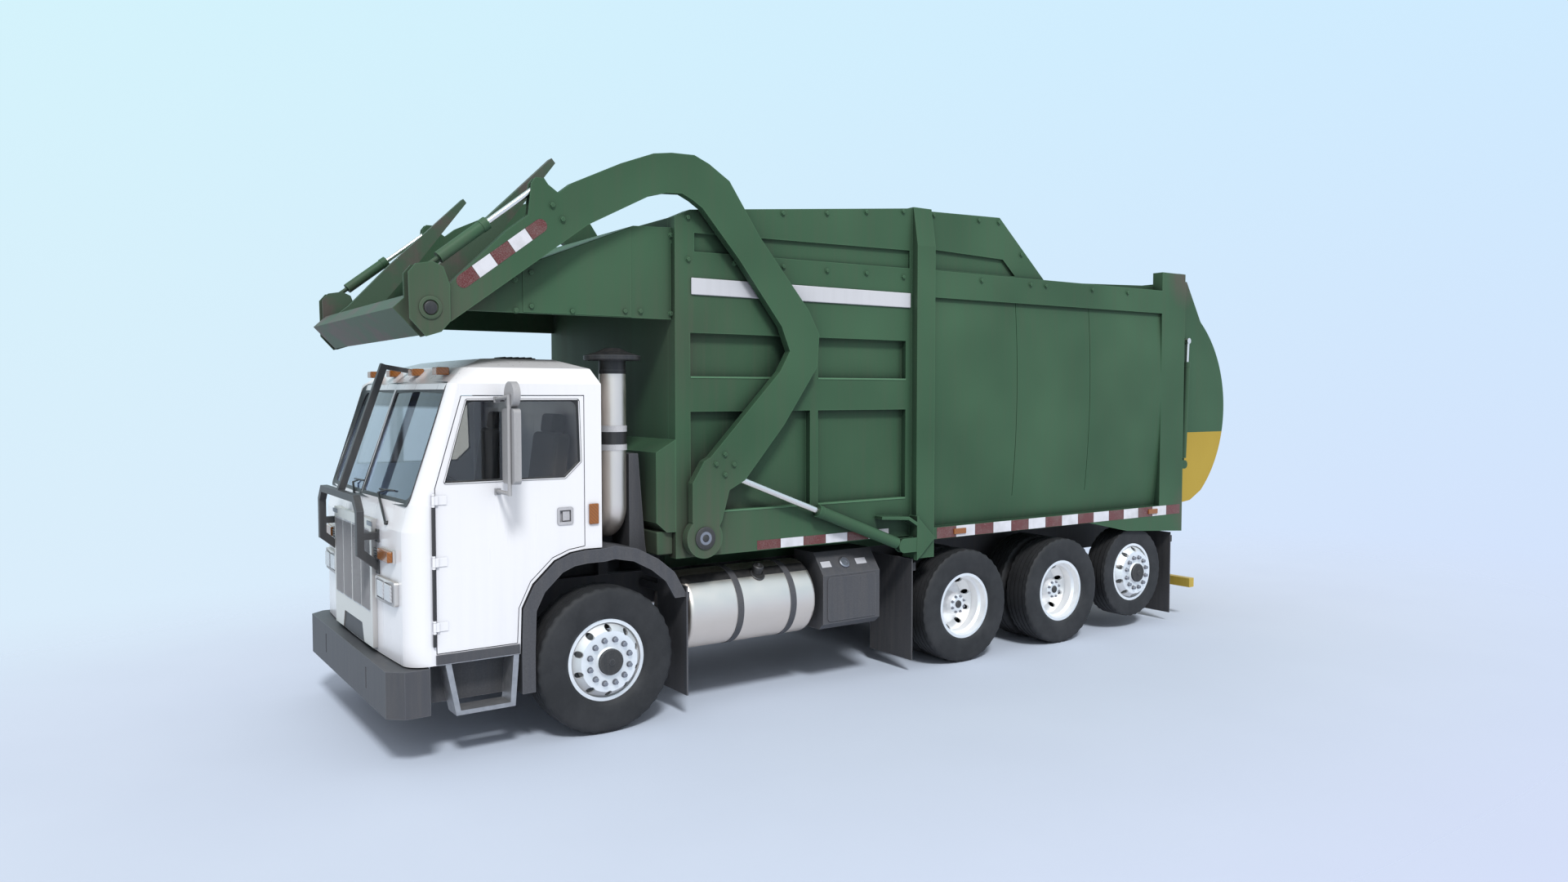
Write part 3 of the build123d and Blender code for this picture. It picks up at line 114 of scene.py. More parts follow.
class TruckSizes(bpy.types.PropertyGroup):
    tread_groove: length("Tread groove", "Depth of the grooves around a tyre", 0.013)
    groove_width: length("Groove width", "Width of a groove around a tyre", 0.011)
    bolt_head: length("Bolt head", "Across the head of a body bolt", 0.036)
    wheel_nut: length("Wheel nut", "Across a wheel nut", 0.036)
    tape_height: length("Tape height", "Height of the reflective tape", 0.100)
    front_nuts: IntProperty(name="Front nuts", description="Nuts on a steer wheel",
                            default=12, min=5, max=16)
    drive_nuts: IntProperty(name="Flange bolts", description="Bolts on a drive flange",
                            default=8, min=5, max=16)


# ------------------------------------------------------------------ mesh work
def at(x, station, height):
    """A point of the frame, given by its station."""
    return Vector((x, AXLE_Y + station, height))


def across(sign, near, far):
    """Limits along x on one side of the truck, given by their distances from its middle."""
    return sorted((sign * near, sign * far))


def bridge(work, near, far):
    """Faces between two rings of as many points."""
    for i in range(len(near)):
        j = (i + 1) % len(near)
        work.faces.new((near[i], near[j], far[j], far[i]))


def slab(work, first, second):
    """A closed block between two outlines of as many points."""
    near = [work.verts.new(point) for point in first]
    far = [work.verts.new(point) for point in second]
    work.faces.new(near)
    work.faces.new(far)
    bridge(work, near, far)


def prism(work, outline, low, high, axis="x"):
    """Extrude an outline. Its points are (station, height) along x and (x, height)
    along y."""
    if axis == "x":
        ends = [[at(limit, *point) for point in outline] for limit in (low, high)]
    else:
        ends = [[at(x, limit, height) for x, height in outline] for limit in (low, high)]
    slab(work, *ends)


def box(work, x, station, height):
    """A box between three pairs of limits."""
    corners = [(station[0], height[0]), (station[1], height[0]), (station[1], height[1]),
               (station[0], height[1])]
    prism(work, corners, x[0], x[1])


def turn(work, profile, centre, axis, steps=32):
    """Turn a profile of (along, radius) points about an axis through a point."""
    place = Matrix.Translation(centre) @ Vector(axis).to_track_quat("Z", "Y").to_matrix().to_4x4()
    rings = []
    for along, radius in profile:
        count = 1 if radius == 0 else steps
        angles = [2 * math.pi * i / steps for i in range(count)]
        rings.append([work.verts.new(place @ Vector((radius * math.cos(angle),
                                                     radius * math.sin(angle), along)))
                      for angle in angles])
    for near, far in zip(rings, rings[1:]):
        for i in range(steps):
            j = (i + 1) % steps
            corners = [near[i % len(near)], near[j % len(near)], far[j % len(far)],
                       far[i % len(far)]]
            kept = [v for n, v in enumerate(corners) if v not in corners[:n]]
            if len(kept) > 2:
                work.faces.new(kept)


def rod(work, start, end, radius, sides=14):
    """A round rod between two points."""
    turned = (end - start).to_track_quat("Z", "Y")
    angles = [2 * math.pi * k / sides for k in range(sides)]
    circle = [turned @ Vector((radius * math.cos(angle), radius * math.sin(angle), 0))
              for angle in angles]
    near, far = ([work.verts.new(point + offset) for offset in circle]
                 for point in (start, end))
    bridge(work, near, far)
    work.faces.new(near)
    work.faces.new(far)


WASHER, WASHER_THICK = 1.25, 0.003    # its width is a share of the head's


def bolt(work, centre, axis, wide, tall=0.4):
    """A hexagon head on its washer."""
    radius, top = wide / 2, wide * (tall + 0.06)
    turn(work, [(0, radius * WASHER), (WASHER_THICK, radius * WASHER), (WASHER_THICK, 0)],
         centre, axis, 20)
    turn(work, [(0.002, radius), (wide * tall, radius), (top, radius * 0.8), (top, 0)],
         centre, axis, 6)


# Edges turning by more than these are shaded sharp, and are rounded off
SHARP_ANGLE, BEVEL_ANGLE = math.radians(32), math.radians(40)


def piece(name, work, look, body, bevel=0.0, segments=2):
    """Turn finished mesh work into a piece that rides on a body."""
    bmesh.ops.recalc_face_normals(work, faces=work.faces)
    mesh = bpy.data.meshes.new(name)
    work.to_mesh(mesh)
    work.free()
    mesh.polygons.foreach_set("use_smooth", [True] * len(mesh.polygons))
    mesh.set_sharp_from_angle(angle=SHARP_ANGLE)
    mesh.materials.append(FINISHES[look])
    made = bpy.data.objects.new(name, mesh)
    bpy.context.scene.collection.objects.link(made)
    if bevel:
        edges = made.modifiers.new("edges", "BEVEL")
        edges.width = bevel
        edges.segments = segments
        edges.limit_method = "ANGLE"
        edges.angle_limit = BEVEL_ANGLE
        edges.harden_normals = True
    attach(made, body)
    return made


# ------------------------------------------------------------------ shader nodes
MIX_A, MIX_B, MIX_OUT = 6, 7, 2      # colour sockets of the Mix node


def node(material, kind, sockets=None, **settings):
    """Add a shader node, set its properties, and fill or link its sockets."""
    made = material.node_tree.nodes.new("ShaderNode" + kind)
    for name, value in settings.items():
        setattr(made, name, value)
    for name, value in (sockets or {}).items():
        if isinstance(value, bpy.types.NodeSocket):
            material.node_tree.links.new(value, made.inputs[name])
        else:
            made.inputs[name].default_value = value
    return made


def blank(name):
    """An empty material, and the place on the object that its patterns are drawn at."""
    material = bpy.data.materials.new(name)
    material.use_nodes = True
    material.node_tree.nodes.clear()
    return material, node(material, "TexCoord").outputs["Object"]


def finish(material, shader):
    """Send a shader to the material's surface."""
    node(material, "OutputMaterial", {"Surface": shader.outputs[0]})
    return material


def rgba(value):
    """A colour with its alpha, from a hex code or from linear values."""
    return (*(linear(value) if isinstance(value, str) else value), 1)


def mixed(material, share, first, second, blend="MIX"):
    """Two colours mixed by a share. Each is a socket, a hex code or linear values."""
    first, second = (value if isinstance(value, bpy.types.NodeSocket) else rgba(value)
                     for value in (first, second))
    return node(material, "Mix", {0: share, MIX_A: first, MIX_B: second},
                data_type="RGBA", blend_type=blend).outputs[MIX_OUT]


def ranged(material, value, low, high, first=0.0, last=1.0):
    """A value brought from one range to another."""
    return node(material, "MapRange", {"Value": value, "From Min": low, "From Max": high,
                                       "To Min": first, "To Max": last}).outputs[0]


def product(material, first, second, clamp=False):
    """Two values multiplied, and held between 0 and 1 where clamp is true."""
    return node(material, "Math", {0: first, 1: second}, operation="MULTIPLY",
                use_clamp=clamp).outputs[0]


def noise(material, place, size, detail=2, rough=0.5):
    """Cloudy noise whose features are about a size in millimetres."""
    return node(material, "TexNoise", {"Vector": place, "Scale": per(size),
                                       "Detail": detail, "Roughness": rough}).outputs[0]


def bumped(material, height, strength, distance=0.001):
    """The way a surface faces where a height pattern stands out by a distance."""
    return node(material, "Bump", {"Strength": strength, "Distance": distance,
                                   "Height": height}).outputs[0]


def recess(material, reach):
    """How far a spot is open to the air: 1 in the open, 0 in a deep corner. It sets where shade
    is painted.
    """
    return node(material, "AmbientOcclusion", {"Distance": reach}, samples=6).outputs["AO"]


def with_painted_shade(material, tone, reach, low, high, least):
    """A colour with painted shade that darkens it in recesses, down to its least share."""
    open_air = ranged(material, recess(material, reach), low, high, least)
    return mixed(material, 1.0, tone, open_air, "MULTIPLY")


def edge(material, radius):
    """1 along edges, where a highlight is painted and paint wears thin, and 0 on flat faces."""
    rounded_off = node(material, "Bevel", {"Radius": radius}, samples=4)
    flat = node(material, "NewGeometry")
    turned = node(material, "VectorMath", {0: rounded_off.outputs[0],
                                           1: flat.outputs["Normal"]},
                  operation="DOT_PRODUCT")
    return ranged(material, turned.outputs["Value"], 0.985, 0.90)


def streaks(material, place, wide, tall):
    """Noise drawn out downwards, as rain leaves dust."""
    stretched = node(material, "Mapping", {"Vector": place,
                                           "Scale": (per(wide), per(wide), per(tall))})
    return noise(material, stretched.outputs[0], 1000, 5, 0.6)


# ------------------------------------------------------------------ materials
def enamel(name, base, shade, pale, dirt, dirty_spots, roughness, coat, reach=0.30,
           film_most=0.22, specular=0.2):
    """Enamel sprayed on sheet steel and baked: a soft gloss with a faint orange peel, with
    painted shade in recesses and a pale painted highlight along the edges that also stands for
    worn paint. Dust lies in downward streaks.
    Dirty spots are (place, radius, strength)."""
    material, place = blank(name)
    cloudy = ranged(material, noise(material, place, 1300), 0.35, 0.68, 0, 0.34)
    # painted shade: the colour darkens in recesses, by ambient occlusion
    open_air = ranged(material, recess(material, reach), 0.35, 0.95)
    shaded = mixed(material, open_air, shade, mixed(material, cloudy, base, pale))
    rain = streaks(material, place, 55, 1400)
    current = mixed(material, ranged(material, rain, 0.45, 0.85, 0, film_most), shaded, dirt)
    for spot, radius, strength in dirty_spots:
        away = node(material, "VectorMath", {0: place, 1: at(*spot)}, operation="DISTANCE")
        near = ranged(material, away.outputs["Value"], radius, 0.1 * radius, 0, strength)
        patchy = product(material, product(material, near, rain), 1.9, True)
        current = mixed(material, patchy, current, dirt)
    # painted highlight along the edges, which also stands for worn paint
    rubbed_and_highlit = product(material, edge(material, 0.012), 0.55)
    current = mixed(material, rubbed_and_highlit, current, pale)
    peel = bumped(material, noise(material, place, 9, 1), 0.04)
    matt = ranged(material, rain, 0, 1, roughness - 0.06, roughness + 0.14)
    shader = node(material, "BsdfPrincipled", {
        "Base Color": current, "Roughness": matt, "IOR": 1.5, "Specular IOR Level": specular,
        "Coat Weight": coat, "Coat Roughness": 0.15, "Normal": peel})
    finish(material, shader)
    return material, current, shader


def coated(name, base, grain, depth, roughness, dust="#6B6660", metallic=0.0):
    """Plain moulded or powder-coated surface: an even fine grain with painted shade in recesses,
    its edges drawn towards a mid grey as a painted highlight on the dark finishes that also
    stands for a worn coat, and dusty on top. Grain is its size in millimetres and depth how
    strongly it stands out."""
    material, place = blank(name)
    speck = noise(material, place, grain, 3, 0.7)
    film = ranged(material, streaks(material, place, 40, 700), 0.3, 0.8, 0, 0.26)
    # painted shade: darker in recesses
    shaded = with_painted_shade(material, mixed(material, film, base, dust), 0.25, 0.2, 0.9, 0.45)
    fine = ranged(material, speck, 0.3, 0.7, 0.86, 1.14)
    grained = mixed(material, 1.0, shaded, fine, "MULTIPLY")
    # edges drawn towards a mid grey: a painted highlight on the dark finishes, also standing for
    # a worn coat
    rubbed_and_highlit = product(material, edge(material, 0.008), 0.30)
    shader = node(material, "BsdfPrincipled", {
        "Base Color": mixed(material, rubbed_and_highlit, grained, "#8A8B90"), "Roughness": roughness,
        "IOR": 1.49, "Metallic": metallic, "Normal": bumped(material, speck, depth, 0.002)})
    return finish(material, shader)


def bright_metal(name, base, roughness, lines, dull=0.10):
    """Bright metal: metallic, with fine polishing lines, a breath of road film and painted shade
    in recesses.
    """
    material, place = blank(name)
    stretched = node(material, "Mapping", {"Vector": place,
                                           "Scale": (per(lines), per(lines * 40), per(lines))})
    brushed = noise(material, stretched.outputs[0], 1000, 4)
    film = noise(material, place, 160, 5)
    shader = node(material, "BsdfPrincipled", {
        "Base Color": with_painted_shade(material, base, 0.12, 0.1, 0.8, 0.62), "Metallic": 1.0,
        "Roughness": ranged(material, film, 0.35, 0.7, roughness, roughness + dull),
        "Normal": bumped(material, brushed, 0.05, 0.0005)})
    return finish(material, shader)


def cab_enamel(colours):
    # White polyurethane enamel, sprayed and baked: glossy, with soft grey painted shade in its
    # recesses.
    low_edge = [((side * CAB_X, -0.4, 0.75), 0.9, 0.16) for _, side in SIDES]
    return enamel("sprayed_enamel_white", colours.cab, "#B4B5BE", "#F4F4F6", "#C4C3C6",
                  low_edge, 0.26, 0.5, reach=0.16, film_most=0.06, specular=0.5)[0]


# Where the body is dirtiest: (station, height, radius, strength)
BODY_DIRT = ((0.75, 1.20, 0.95, 0.50), (0.60, 2.9, 0.7, 0.25), (6.9, 3.75, 0.40, 1.2),
             (7.0, 1.2, 0.35, 0.9), (-1.2, 2.95, 0.65, 0.55))


def green_enamel(name, colours):
    """The body's enamel, grimy near the arms and at the tailgate."""
    spots = [((side * 1.2, station, height), radius, strength)
             for station, height, radius, strength in BODY_DIRT for _, side in SIDES]
    return enamel(name, colours.body, colours.body_shade, colours.body_highlight, colours.grime,
                  spots, 0.52, 0.0)


def body_enamel(colours):
    # Green enamel over primed sheet steel: satin after years outside, grimy near the arms.
    return green_enamel("sprayed_enamel_green", colours)[0]


def tailgate_enamel(colours):
    # The same enamel with a masked lower half in warning yellow.
    material, green, shader = green_enamel("sprayed_enamel_two_tone", colours)
    place = material.node_tree.nodes["Texture Coordinate"].outputs["Object"]
    height = node(material, "SeparateXYZ", {0: place}).outputs["Z"]
    low = node(material, "Math", {0: height, 1: YELLOW_TOP}, operation="LESS_THAN").outputs[0]
    yellow = mixed(material, noise(material, place, 700), colours.warning, "#A88E38")
    both = mixed(material, low, green, yellow)
    material.node_tree.links.new(both, shader.inputs["Base Color"])
    return material


def fork_steel(colours):
    # Mild steel plate, flame cut, its enamel scraped off by bins: brown-grey with green left.
    material, place = blank("scraped_enamel_steel")
    left = ranged(material, noise(material, place, 520, 4, 0.55), 0.44, 0.54, 0, 0.80)
    scratch = streaks(material, place, 18, 260)
    steel = mixed(material, scratch, colours.forks, "#5B544C")
    both = mixed(material, left, steel, colours.body)
    shader = node(material, "BsdfPrincipled", {
        # painted shade: darker in recesses
        "Base Color": with_painted_shade(material, both, 0.2, 0.2, 0.9, 0.45), "Roughness": 0.6,
        "Metallic": 0.1, "Normal": bumped(material, scratch, 0.12)})
    return finish(material, shader)


def step_metal():
    # Aluminium tread plate, rolled with raised lozenges and left as milled: grey and satin.
    material, place = blank("tread_plate_aluminium")
    lozenge = node(material, "TexVoronoi", {"Vector": place, "Scale": per(22)})
    raised = ranged(material, lozenge.outputs["Distance"], 0.32, 0.18)
    shader = node(material, "BsdfPrincipled", {
        "Base Color": mixed(material, noise(material, place, 60, 5), "#8F8F92", "#C2C2C4"),
        "Metallic": 0.8, "Roughness": 0.42, "Normal": bumped(material, raised, 0.35, 0.002)})
    return finish(material, shader)


def tyre_rubber():
    # Carbon-black rubber, moulded: dull and near black, greyed with dust on the tread.
    material, place = blank("moulded_tyre_rubber")
    dust = ranged(material, noise(material, place, 240, 6, 0.65), 0.38, 0.72, 0, 0.6)
    tone = mixed(material, dust, "#1E1E20", "#38383A")
    shader = node(material, "BsdfPrincipled", {
        # painted shade: darker in the grooves and other recesses
        "Base Color": with_painted_shade(material, tone, 0.05, 0.2, 0.9, 0.4), "Roughness": 0.72,
        "IOR": 1.52, "Normal": bumped(material, noise(material, place, 4, 2), 0.12)})
    return finish(material, shader)


def window_glass(name, tone, band):
    # Float glass, lightly tinted: clear, hard and smooth. Lamps shine through it, so that
    # the seats are lit. Above the height of its band it is deep blue.
    material, place = blank(name)
    dull = ranged(material, noise(material, place, 350, 3), 0, 1, 0, 0.06)
    height = node(material, "SeparateXYZ", {0: place}).outputs["Z"]
    tint = mixed(material, ranged(material, height, band, band + 0.02), tone, "#1C2438")
    flat = node(material, "NewGeometry").outputs["True Normal"]
    glass = node(material, "BsdfPrincipled", {"Base Color": tint, "Roughness": dull,
                 "IOR": 1.5, "Transmission Weight": 1.0, "Normal": flat})
    clear = node(material, "BsdfTransparent", {"Color": tint})
    path = node(material, "LightPath")
    return finish(material, node(material, "MixShader", {
        0: path.outputs["Is Shadow Ray"], 1: glass.outputs[0], 2: clear.outputs[0]}))


def lens(name, code, clear=0.0):
    """Acrylic lamp lens, moulded with fine flutes: deep colour under a hard gloss."""
    material, place = blank(name)
    flutes = node(material, "TexWave", {"Vector": place, "Scale": per(40)},
                  bands_direction="DIAGONAL").outputs[1]
    tone = ranged(material, flutes, 0, 1, 0.7)
    shader = node(material, "BsdfPrincipled", {
        "Base Color": mixed(material, 1.0, code, tone, "MULTIPLY"), "Roughness": 0.14,
        "IOR": 1.49, "Transmission Weight": clear, "Coat Weight": 0.6,
        "Coat Roughness": 0.03, "Normal": bumped(material, flutes, 0.25, 0.002)})
    return finish(material, shader)


def tape(name, code):
    """Retroreflective sheeting, embossed with a fine honeycomb: satin with pale cell walls.
    The cells are drawn four times too large, so that they show."""
    material, place = blank(name)
    cells = node(material, "TexVoronoi", {"Vector": place, "Scale": per(14)},
                 feature="DISTANCE_TO_EDGE")
    wall = ranged(material, cells.outputs[0], 0, 0.06, 0.12, 0)
    film = ranged(material, noise(material, place, 130, 4), 0.4, 0.8, 0, 0.35)
    base = mixed(material, wall, code, "#FFFFFF")
    shader = node(material, "BsdfPrincipled", {
        "Base Color": mixed(material, film, base, "#77736C"), "Roughness": 0.38, "IOR": 1.5,
        "Coat Weight": 0.2})
    return finish(material, shader)


def seat_fabric():
    # Woven polyester: a plain weave of dark grey yarn, matt with a little sheen. The yarns
    # are drawn three times too wide, so that they show.
    material, place = blank("woven_polyester")
    weft, warp = (node(material, "TexWave", {"Vector": place, "Scale": per(24)},
                       bands_direction=way).outputs[1] for way in "ZX")
    weave = product(material, weft, warp)
    shader = node(material, "BsdfPrincipled", {
        "Base Color": mixed(material, weave, "#4A4A4C", "#68686A"), "Roughness": 0.9,
        "Sheen Weight": 0.3, "Normal": bumped(material, weave, 0.3)})
    return finish(material, shader)


def wire_mesh():
    # Stainless steel wire, woven and crimped: small bright diamonds with grey between them.
    material, place = blank("woven_wire_mesh")
    cells = node(material, "TexVoronoi", {"Vector": place, "Scale": per(16)},
                 feature="DISTANCE_TO_EDGE")
    wire = ranged(material, cells.outputs[0], 0.05, 0.20, 1, 0)
    shader = node(material, "BsdfPrincipled", {
        "Base Color": mixed(material, wire, "#94959B", "#DEDFE3"), "Metallic": 0.15,
        "Roughness": 0.5, "Normal": bumped(material, wire, 0.6, 0.003)})
    return finish(material, shader)


YELLOW_TOP = 2.045          # the tailgate is yellow below this height
FINISHES = {}


def make_finishes(colours):
    """Every finish of the truck, by the part that it covers."""
    FINISHES.update(
        cab=cab_enamel(colours), body=body_enamel(colours), tailgate=tailgate_enamel(colours),
        forks=fork_steel(colours), steps=step_metal(), tyre=tyre_rubber(),
        glass=window_glass("tempered_float_glass", "#D3CBC2", 9.0),
        windscreen=window_glass("laminated_float_glass", "#BCC8DA", 2.365),
        fabric=seat_fabric(), mesh=wire_mesh(),
        # Powder-coated pressed steel: even, satin and slightly pitted.
        frame=coated("powder_coated_steel", colours.charcoal, 5, 0.10, 0.55),
        guard=coated("powder_coated_tube", colours.guard, 6, 0.08, 0.50),
        # Moulded polyethylene: a coarse leathery grain that looks soft and dusty.
        plastic=coated("moulded_polyethylene", colours.charcoal, 11, 0.35, 0.62),
        rubber=coated("moulded_rubber_sheet", "#3A3A3E", 8, 0.15, 0.75),
        iron=coated("cast_iron", "#3B3C3E", 14, 0.4, 0.65, metallic=0.3),
        # Polished aluminium: white-bright and slightly soft in its reflections.
        aluminium=bright_metal("polished_aluminium", "#EBDFD4", 0.38, 3),
        rim=bright_metal("forged_aluminium", "#FBF9F8", 0.60, 4),
        # Anodised aluminium: pale, even and satin.
        anodised=bright_metal("anodised_aluminium", "#E6DFD9", 0.52, 3, 0.05),
        # Hard chromium on ground steel: almost a mirror.
        chrome=bright_metal("hard_chrome", "#F0E9E2", 0.20, 2, 0.05),
        nut=bright_metal("zinc_plated_steel", "#9A9AA0", 0.45, 5),
        # Silvered glass: a true mirror.
        mirror=bright_metal("silvered_glass", "#E6EAEE", 0.02, 60, 0.01),
        amber=lens("moulded_acrylic_amber", colours.amber),
        red_lens=lens("moulded_acrylic_red", "#7A1512"),
        clear_lens=lens("moulded_acrylic_clear", "#E4E6EA", 0.25),
        red_tape=tape("reflective_sheeting_red", colours.red),
        white_tape=tape("reflective_sheeting_white", colours.white),
        yellow=enamel("sprayed_enamel_yellow", colours.warning, "#7E6A2A", "#D6BD62",
                      colours.grime, [], 0.45, 0.1)[0],
        dark=coated("satin_black_plastic", "#202124", 3, 0.08, 0.45),
        # Textured nylon in a light grey, as mirror heads and handles are moulded.
        case=coated("moulded_nylon_grey", "#ABABAD", 4, 0.12, 0.5),
        grey=coated("moulded_acetal_grey", "#BCBCC0", 4, 0.08, 0.4),
        ring=coated("perforated_zinc_band", "#C4C4C8", 7, 0.6, 0.45),
        white_paint=enamel("sprayed_enamel_trim_white", "#C6C7CC", "#8E909A", "#DADBE0",
                           colours.grime, [], 0.3, 0.4, film_most=0.08, specular=0.5)[0],
        # The body's enamel lightened all over as a painted highlight, for the ledges where sheets
        # end.
        ledge=enamel("sprayed_enamel_highlight", colours.body_highlight, colours.body, "#6B9475",
                     colours.grime, [], 0.5, 0.0)[0],
    )


# ------------------------------------------------------------------ placing
# Where rays start: beside the truck, before the cab and behind the truck
OUTSIDE, AHEAD, BEHIND = 1.7, -1.9, 8.0


def caster(*names):
    """A function that gives the point where a ray first meets these nodes."""
    trees = [BVHTree.FromPolygons([v.co for v in NODES[name].data.vertices],
                                  [face.vertices for face in NODES[name].data.polygons])
             for name in names]

    def cast(origin, direction):
        hits = [tree.ray_cast(origin, Vector(direction)) for tree in trees]
        hits = [hit for hit in hits if hit[0] is not None]
        if not hits:
            raise RuntimeError(f"{names} are not met along {direction} from {origin[:]}")
        return min(hits, key=lambda hit: hit[3])[0]
    return cast


def on_side(cast, sign, station, height):
    """The point of a side wall at a station and height."""
    return cast(at(sign * OUTSIDE, station, height), (-sign, 0, 0))


def on_front(cast, x, height):
    """The point of the front at an x and height."""
    return cast(at(x, AHEAD, height), (0, 1, 0))


def paint_part(name, look, test):
    """Give the faces of a node whose middle passes a test another finish."""
    mesh = NODES[name].data
    mesh.materials.append(FINISHES[look])
    for face in mesh.polygons:
        if test(abs(face.center.x), face.center.y - AXLE_Y, face.center.z):
            face.material_index = len(mesh.materials) - 1


def rounded(outline, grow, radii, steps=6):
    """An outline with its edges moved outwards and its corners rounded. Every corner gets
    the same number of points, so that two such outlines match."""
    points = [Vector(point) for point in outline]
    count = len(points)
    area = sum(points[i - 1].x * points[i].y - points[i].x * points[i - 1].y
               for i in range(count))
    turn_out = 1 if area > 0 else -1
    corners = []
    for i in range(count):
        before = (points[i] - points[i - 1]).normalized()
        after = (points[(i + 1) % count] - points[i]).normalized()
        out_before = Vector((before.y, -before.x)) * turn_out
        out_after = Vector((after.y, -after.x)) * turn_out
        half = (out_before + out_after).normalized()
        corners.append(points[i] + half * grow / half.dot(out_before))
    path = []
    for i in range(count):
        back = (corners[i - 1] - corners[i]).normalized()
        ahead = (corners[(i + 1) % count] - corners[i]).normalized()
        radius = radii[i]
        angle = back.angle(ahead)
        centre = corners[i] + (back + ahead).normalized() * radius / math.sin(angle / 2)
        reach = radius / math.tan(angle / 2)
        first, last = corners[i] + back * reach - centre, corners[i] + ahead * reach - centre
        for step in range(steps + 1):
            share = step / steps
            path.append(centre + (first * (1 - share) + last * share).normalized() * radius)
    return path


def seal(work, outer, inner, lift):
    """A rubber seal between two rings of points on a surface, standing out by a vector."""
    rings = [outer, [point + lift for point in outer], [point + lift for point in inner], inner]
    rings = [[work.verts.new(point) for point in ring] for ring in rings]
    for near, far in zip(rings, rings[1:] + rings[:1]):
        bridge(work, near, far)


def plate(work, cast, sign, station, height, thick, sunk=0.001):
    """A thin plate on a side wall, seated where its middle meets the wall."""
    face = abs(on_side(cast, sign, sum(station) / 2, sum(height) / 2).x)
    box(work, across(sign, face - sunk, face + thick), station, height)


# ------------------------------------------------------------------ operators
# Turned profiles below are (along the axis, radius), and boxes are three pairs of limits:
# across the truck, along it as stations, and up.
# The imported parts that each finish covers
LOOKS = {
    "cab": ("cab_shell", "cab_front", "cab_roof", "door_left", "door_right"),
    "body": ("body_sides", "body_floor", "body_roof", "hopper_front", "canopy", "lift_arms",
             "packer_blade", "lift_cylinder_barrels", "fork_cylinder_barrels",
             "tailgate_cylinder_barrels"),
    "tailgate": ("tailgate",),
    "forks": ("fork_carriage",),
    "guard": ("cab_guard",),
    "frame": ("front_bumper", "ladder_frame"),
    "plastic": ("front_fenders", "side_boxes", "dashboard"),
    "rubber": ("mudflaps",),
    "steps": ("cab_steps",),
    "iron": ("front_axle", "rear_axles", "knuckle_left", "knuckle_right", "tie_rod",
             "engine_block"),
    "aluminium": ("fuel_tanks", "air_stack"),
    "anodised": ("grille",),
    "chrome": ("lift_cylinder_rods", "fork_cylinder_rods", "tailgate_cylinder_rods"),
    "windscreen": ("windshield",),
    "glass": ("door_glass_left", "door_glass_right"),
    "yellow": ("rear_guard",),
    "case": ("mirrors_left", "mirrors_right"),
    "fabric": ("seats",),
}


def is_handle(x, station, height):
    """Whether a face is a part of a door's handle."""
    return x > 1.18 and -0.375 < station < -0.249 and 1.54 < height < 1.675


# Faces with a finish of their own: (node, finish, test on a face's x, station and height)
PAINTED = (
    ("grille", "mesh", lambda x, y, z: y > -1.473 and 0.95 < z < 1.52 and x < 0.49),
    ("grille", "case", lambda x, y, z: 1.06 < z < 1.21 and 0.62 < x < 1.0 and y > -1.4635),
    ("door_left", "grey", is_handle),
    ("door_right", "grey", is_handle),
    ("fork_carriage", "body", lambda x, y, z: x > 1.19),
    ("air_stack", "ring", lambda x, y, z: 2.05 <= z <= 2.234
     and math.hypot(x - 0.95, y - 0.18) < 0.12),
    ("air_stack", "dark", lambda x, y, z: 2.0941 < z < 2.1879 or z > 2.615),
    ("fuel_tanks", "dark", lambda x, y, z: z > 1.0 and x > 1.0),
    ("fuel_tanks", "plastic", lambda x, y, z: 1.139 < y < 1.196 or 1.649 < y < 1.706),
    ("cab_steps", "plastic", lambda x, y, z: x < 1.0301 or z > 0.6695),
)


class TRUCK_OT_finishes(bpy.types.Operator):
    """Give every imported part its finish, and each differently finished face its own"""
    bl_idname = "truck.finishes"
    bl_label = "Finishes"

    def execute(self, context):
        make_finishes(context.scene.truck_colours)
        looks = {name: look for look, names in LOOKS.items() for name in names}
        for name, made in NODES.items():
            look = looks.get(name) or ("tyre" if "tyre" in name else "rim")
            made.data.materials.clear()
            made.data.materials.append(FINISHES[look])
        for name, look, test in PAINTED:
            paint_part(name, look, test)
        return {"FINISHED"}


WHEEL_X = {"front": 1.085, "drive_front": 1.08, "drive_rear": 1.08, "tag": 1.06}
INNER_WHEEL_X = 0.75
DRIVE_TYRE_WIDTH = 0.276
TYRE_STEPS = 144
# How far the shoulder is cut back at each step round the tyre
NOTCHES = (0.0, 0.0, 0.007, 0.007)
# Share of the overhang past the bead, and share of the height, from bead to shoulder
TYRE_WALL = ((0, 0), (0.4, 0.045), (0.8, 0.14), (0.97, 0.33), (1, 0.5), (0.97, 0.68),
             (0.86, 0.84), (0.62, 0.93), (0.36, 0.975), (0.1, 0.995))
BEAD_ALONG, BEAD_RADIUS = 0.116, 0.302
BEAD_TOE = (0.108, 0.290, 0.0)
GROOVES = (-0.66, -0.22, 0.22, 0.66)         # places across the tread, as shares of it


def tyre_outline(width, diameter, depth, wide):
    """Section of a tyre as (along, radius, how much of the shoulder's notch it takes)."""
    overhang, outer = width / 2 - BEAD_ALONG, diameter / 2
    wall = [(BEAD_ALONG + overhang * k,
             BEAD_RADIUS + t * (outer - BEAD_RADIUS), 1.0 if t > 0.95 else 0.0)
            for k, t in TYRE_WALL]
    tread = BEAD_ALONG + overhang * 0.05
    half_section = [BEAD_TOE, *wall, (tread, outer - 0.0015, 1.0)]
    grooves = [(share * tread + shift * wide, outer - 0.0012 * share * share - drop, 0.0)
               for share in GROOVES
               for shift, drop in ((-0.5, 0), (-0.36, depth), (0.36, depth), (0.5, 0))]
    far = [(-along, radius, notch) for along, radius, notch in half_section]
    return far + grooves + half_section[::-1]


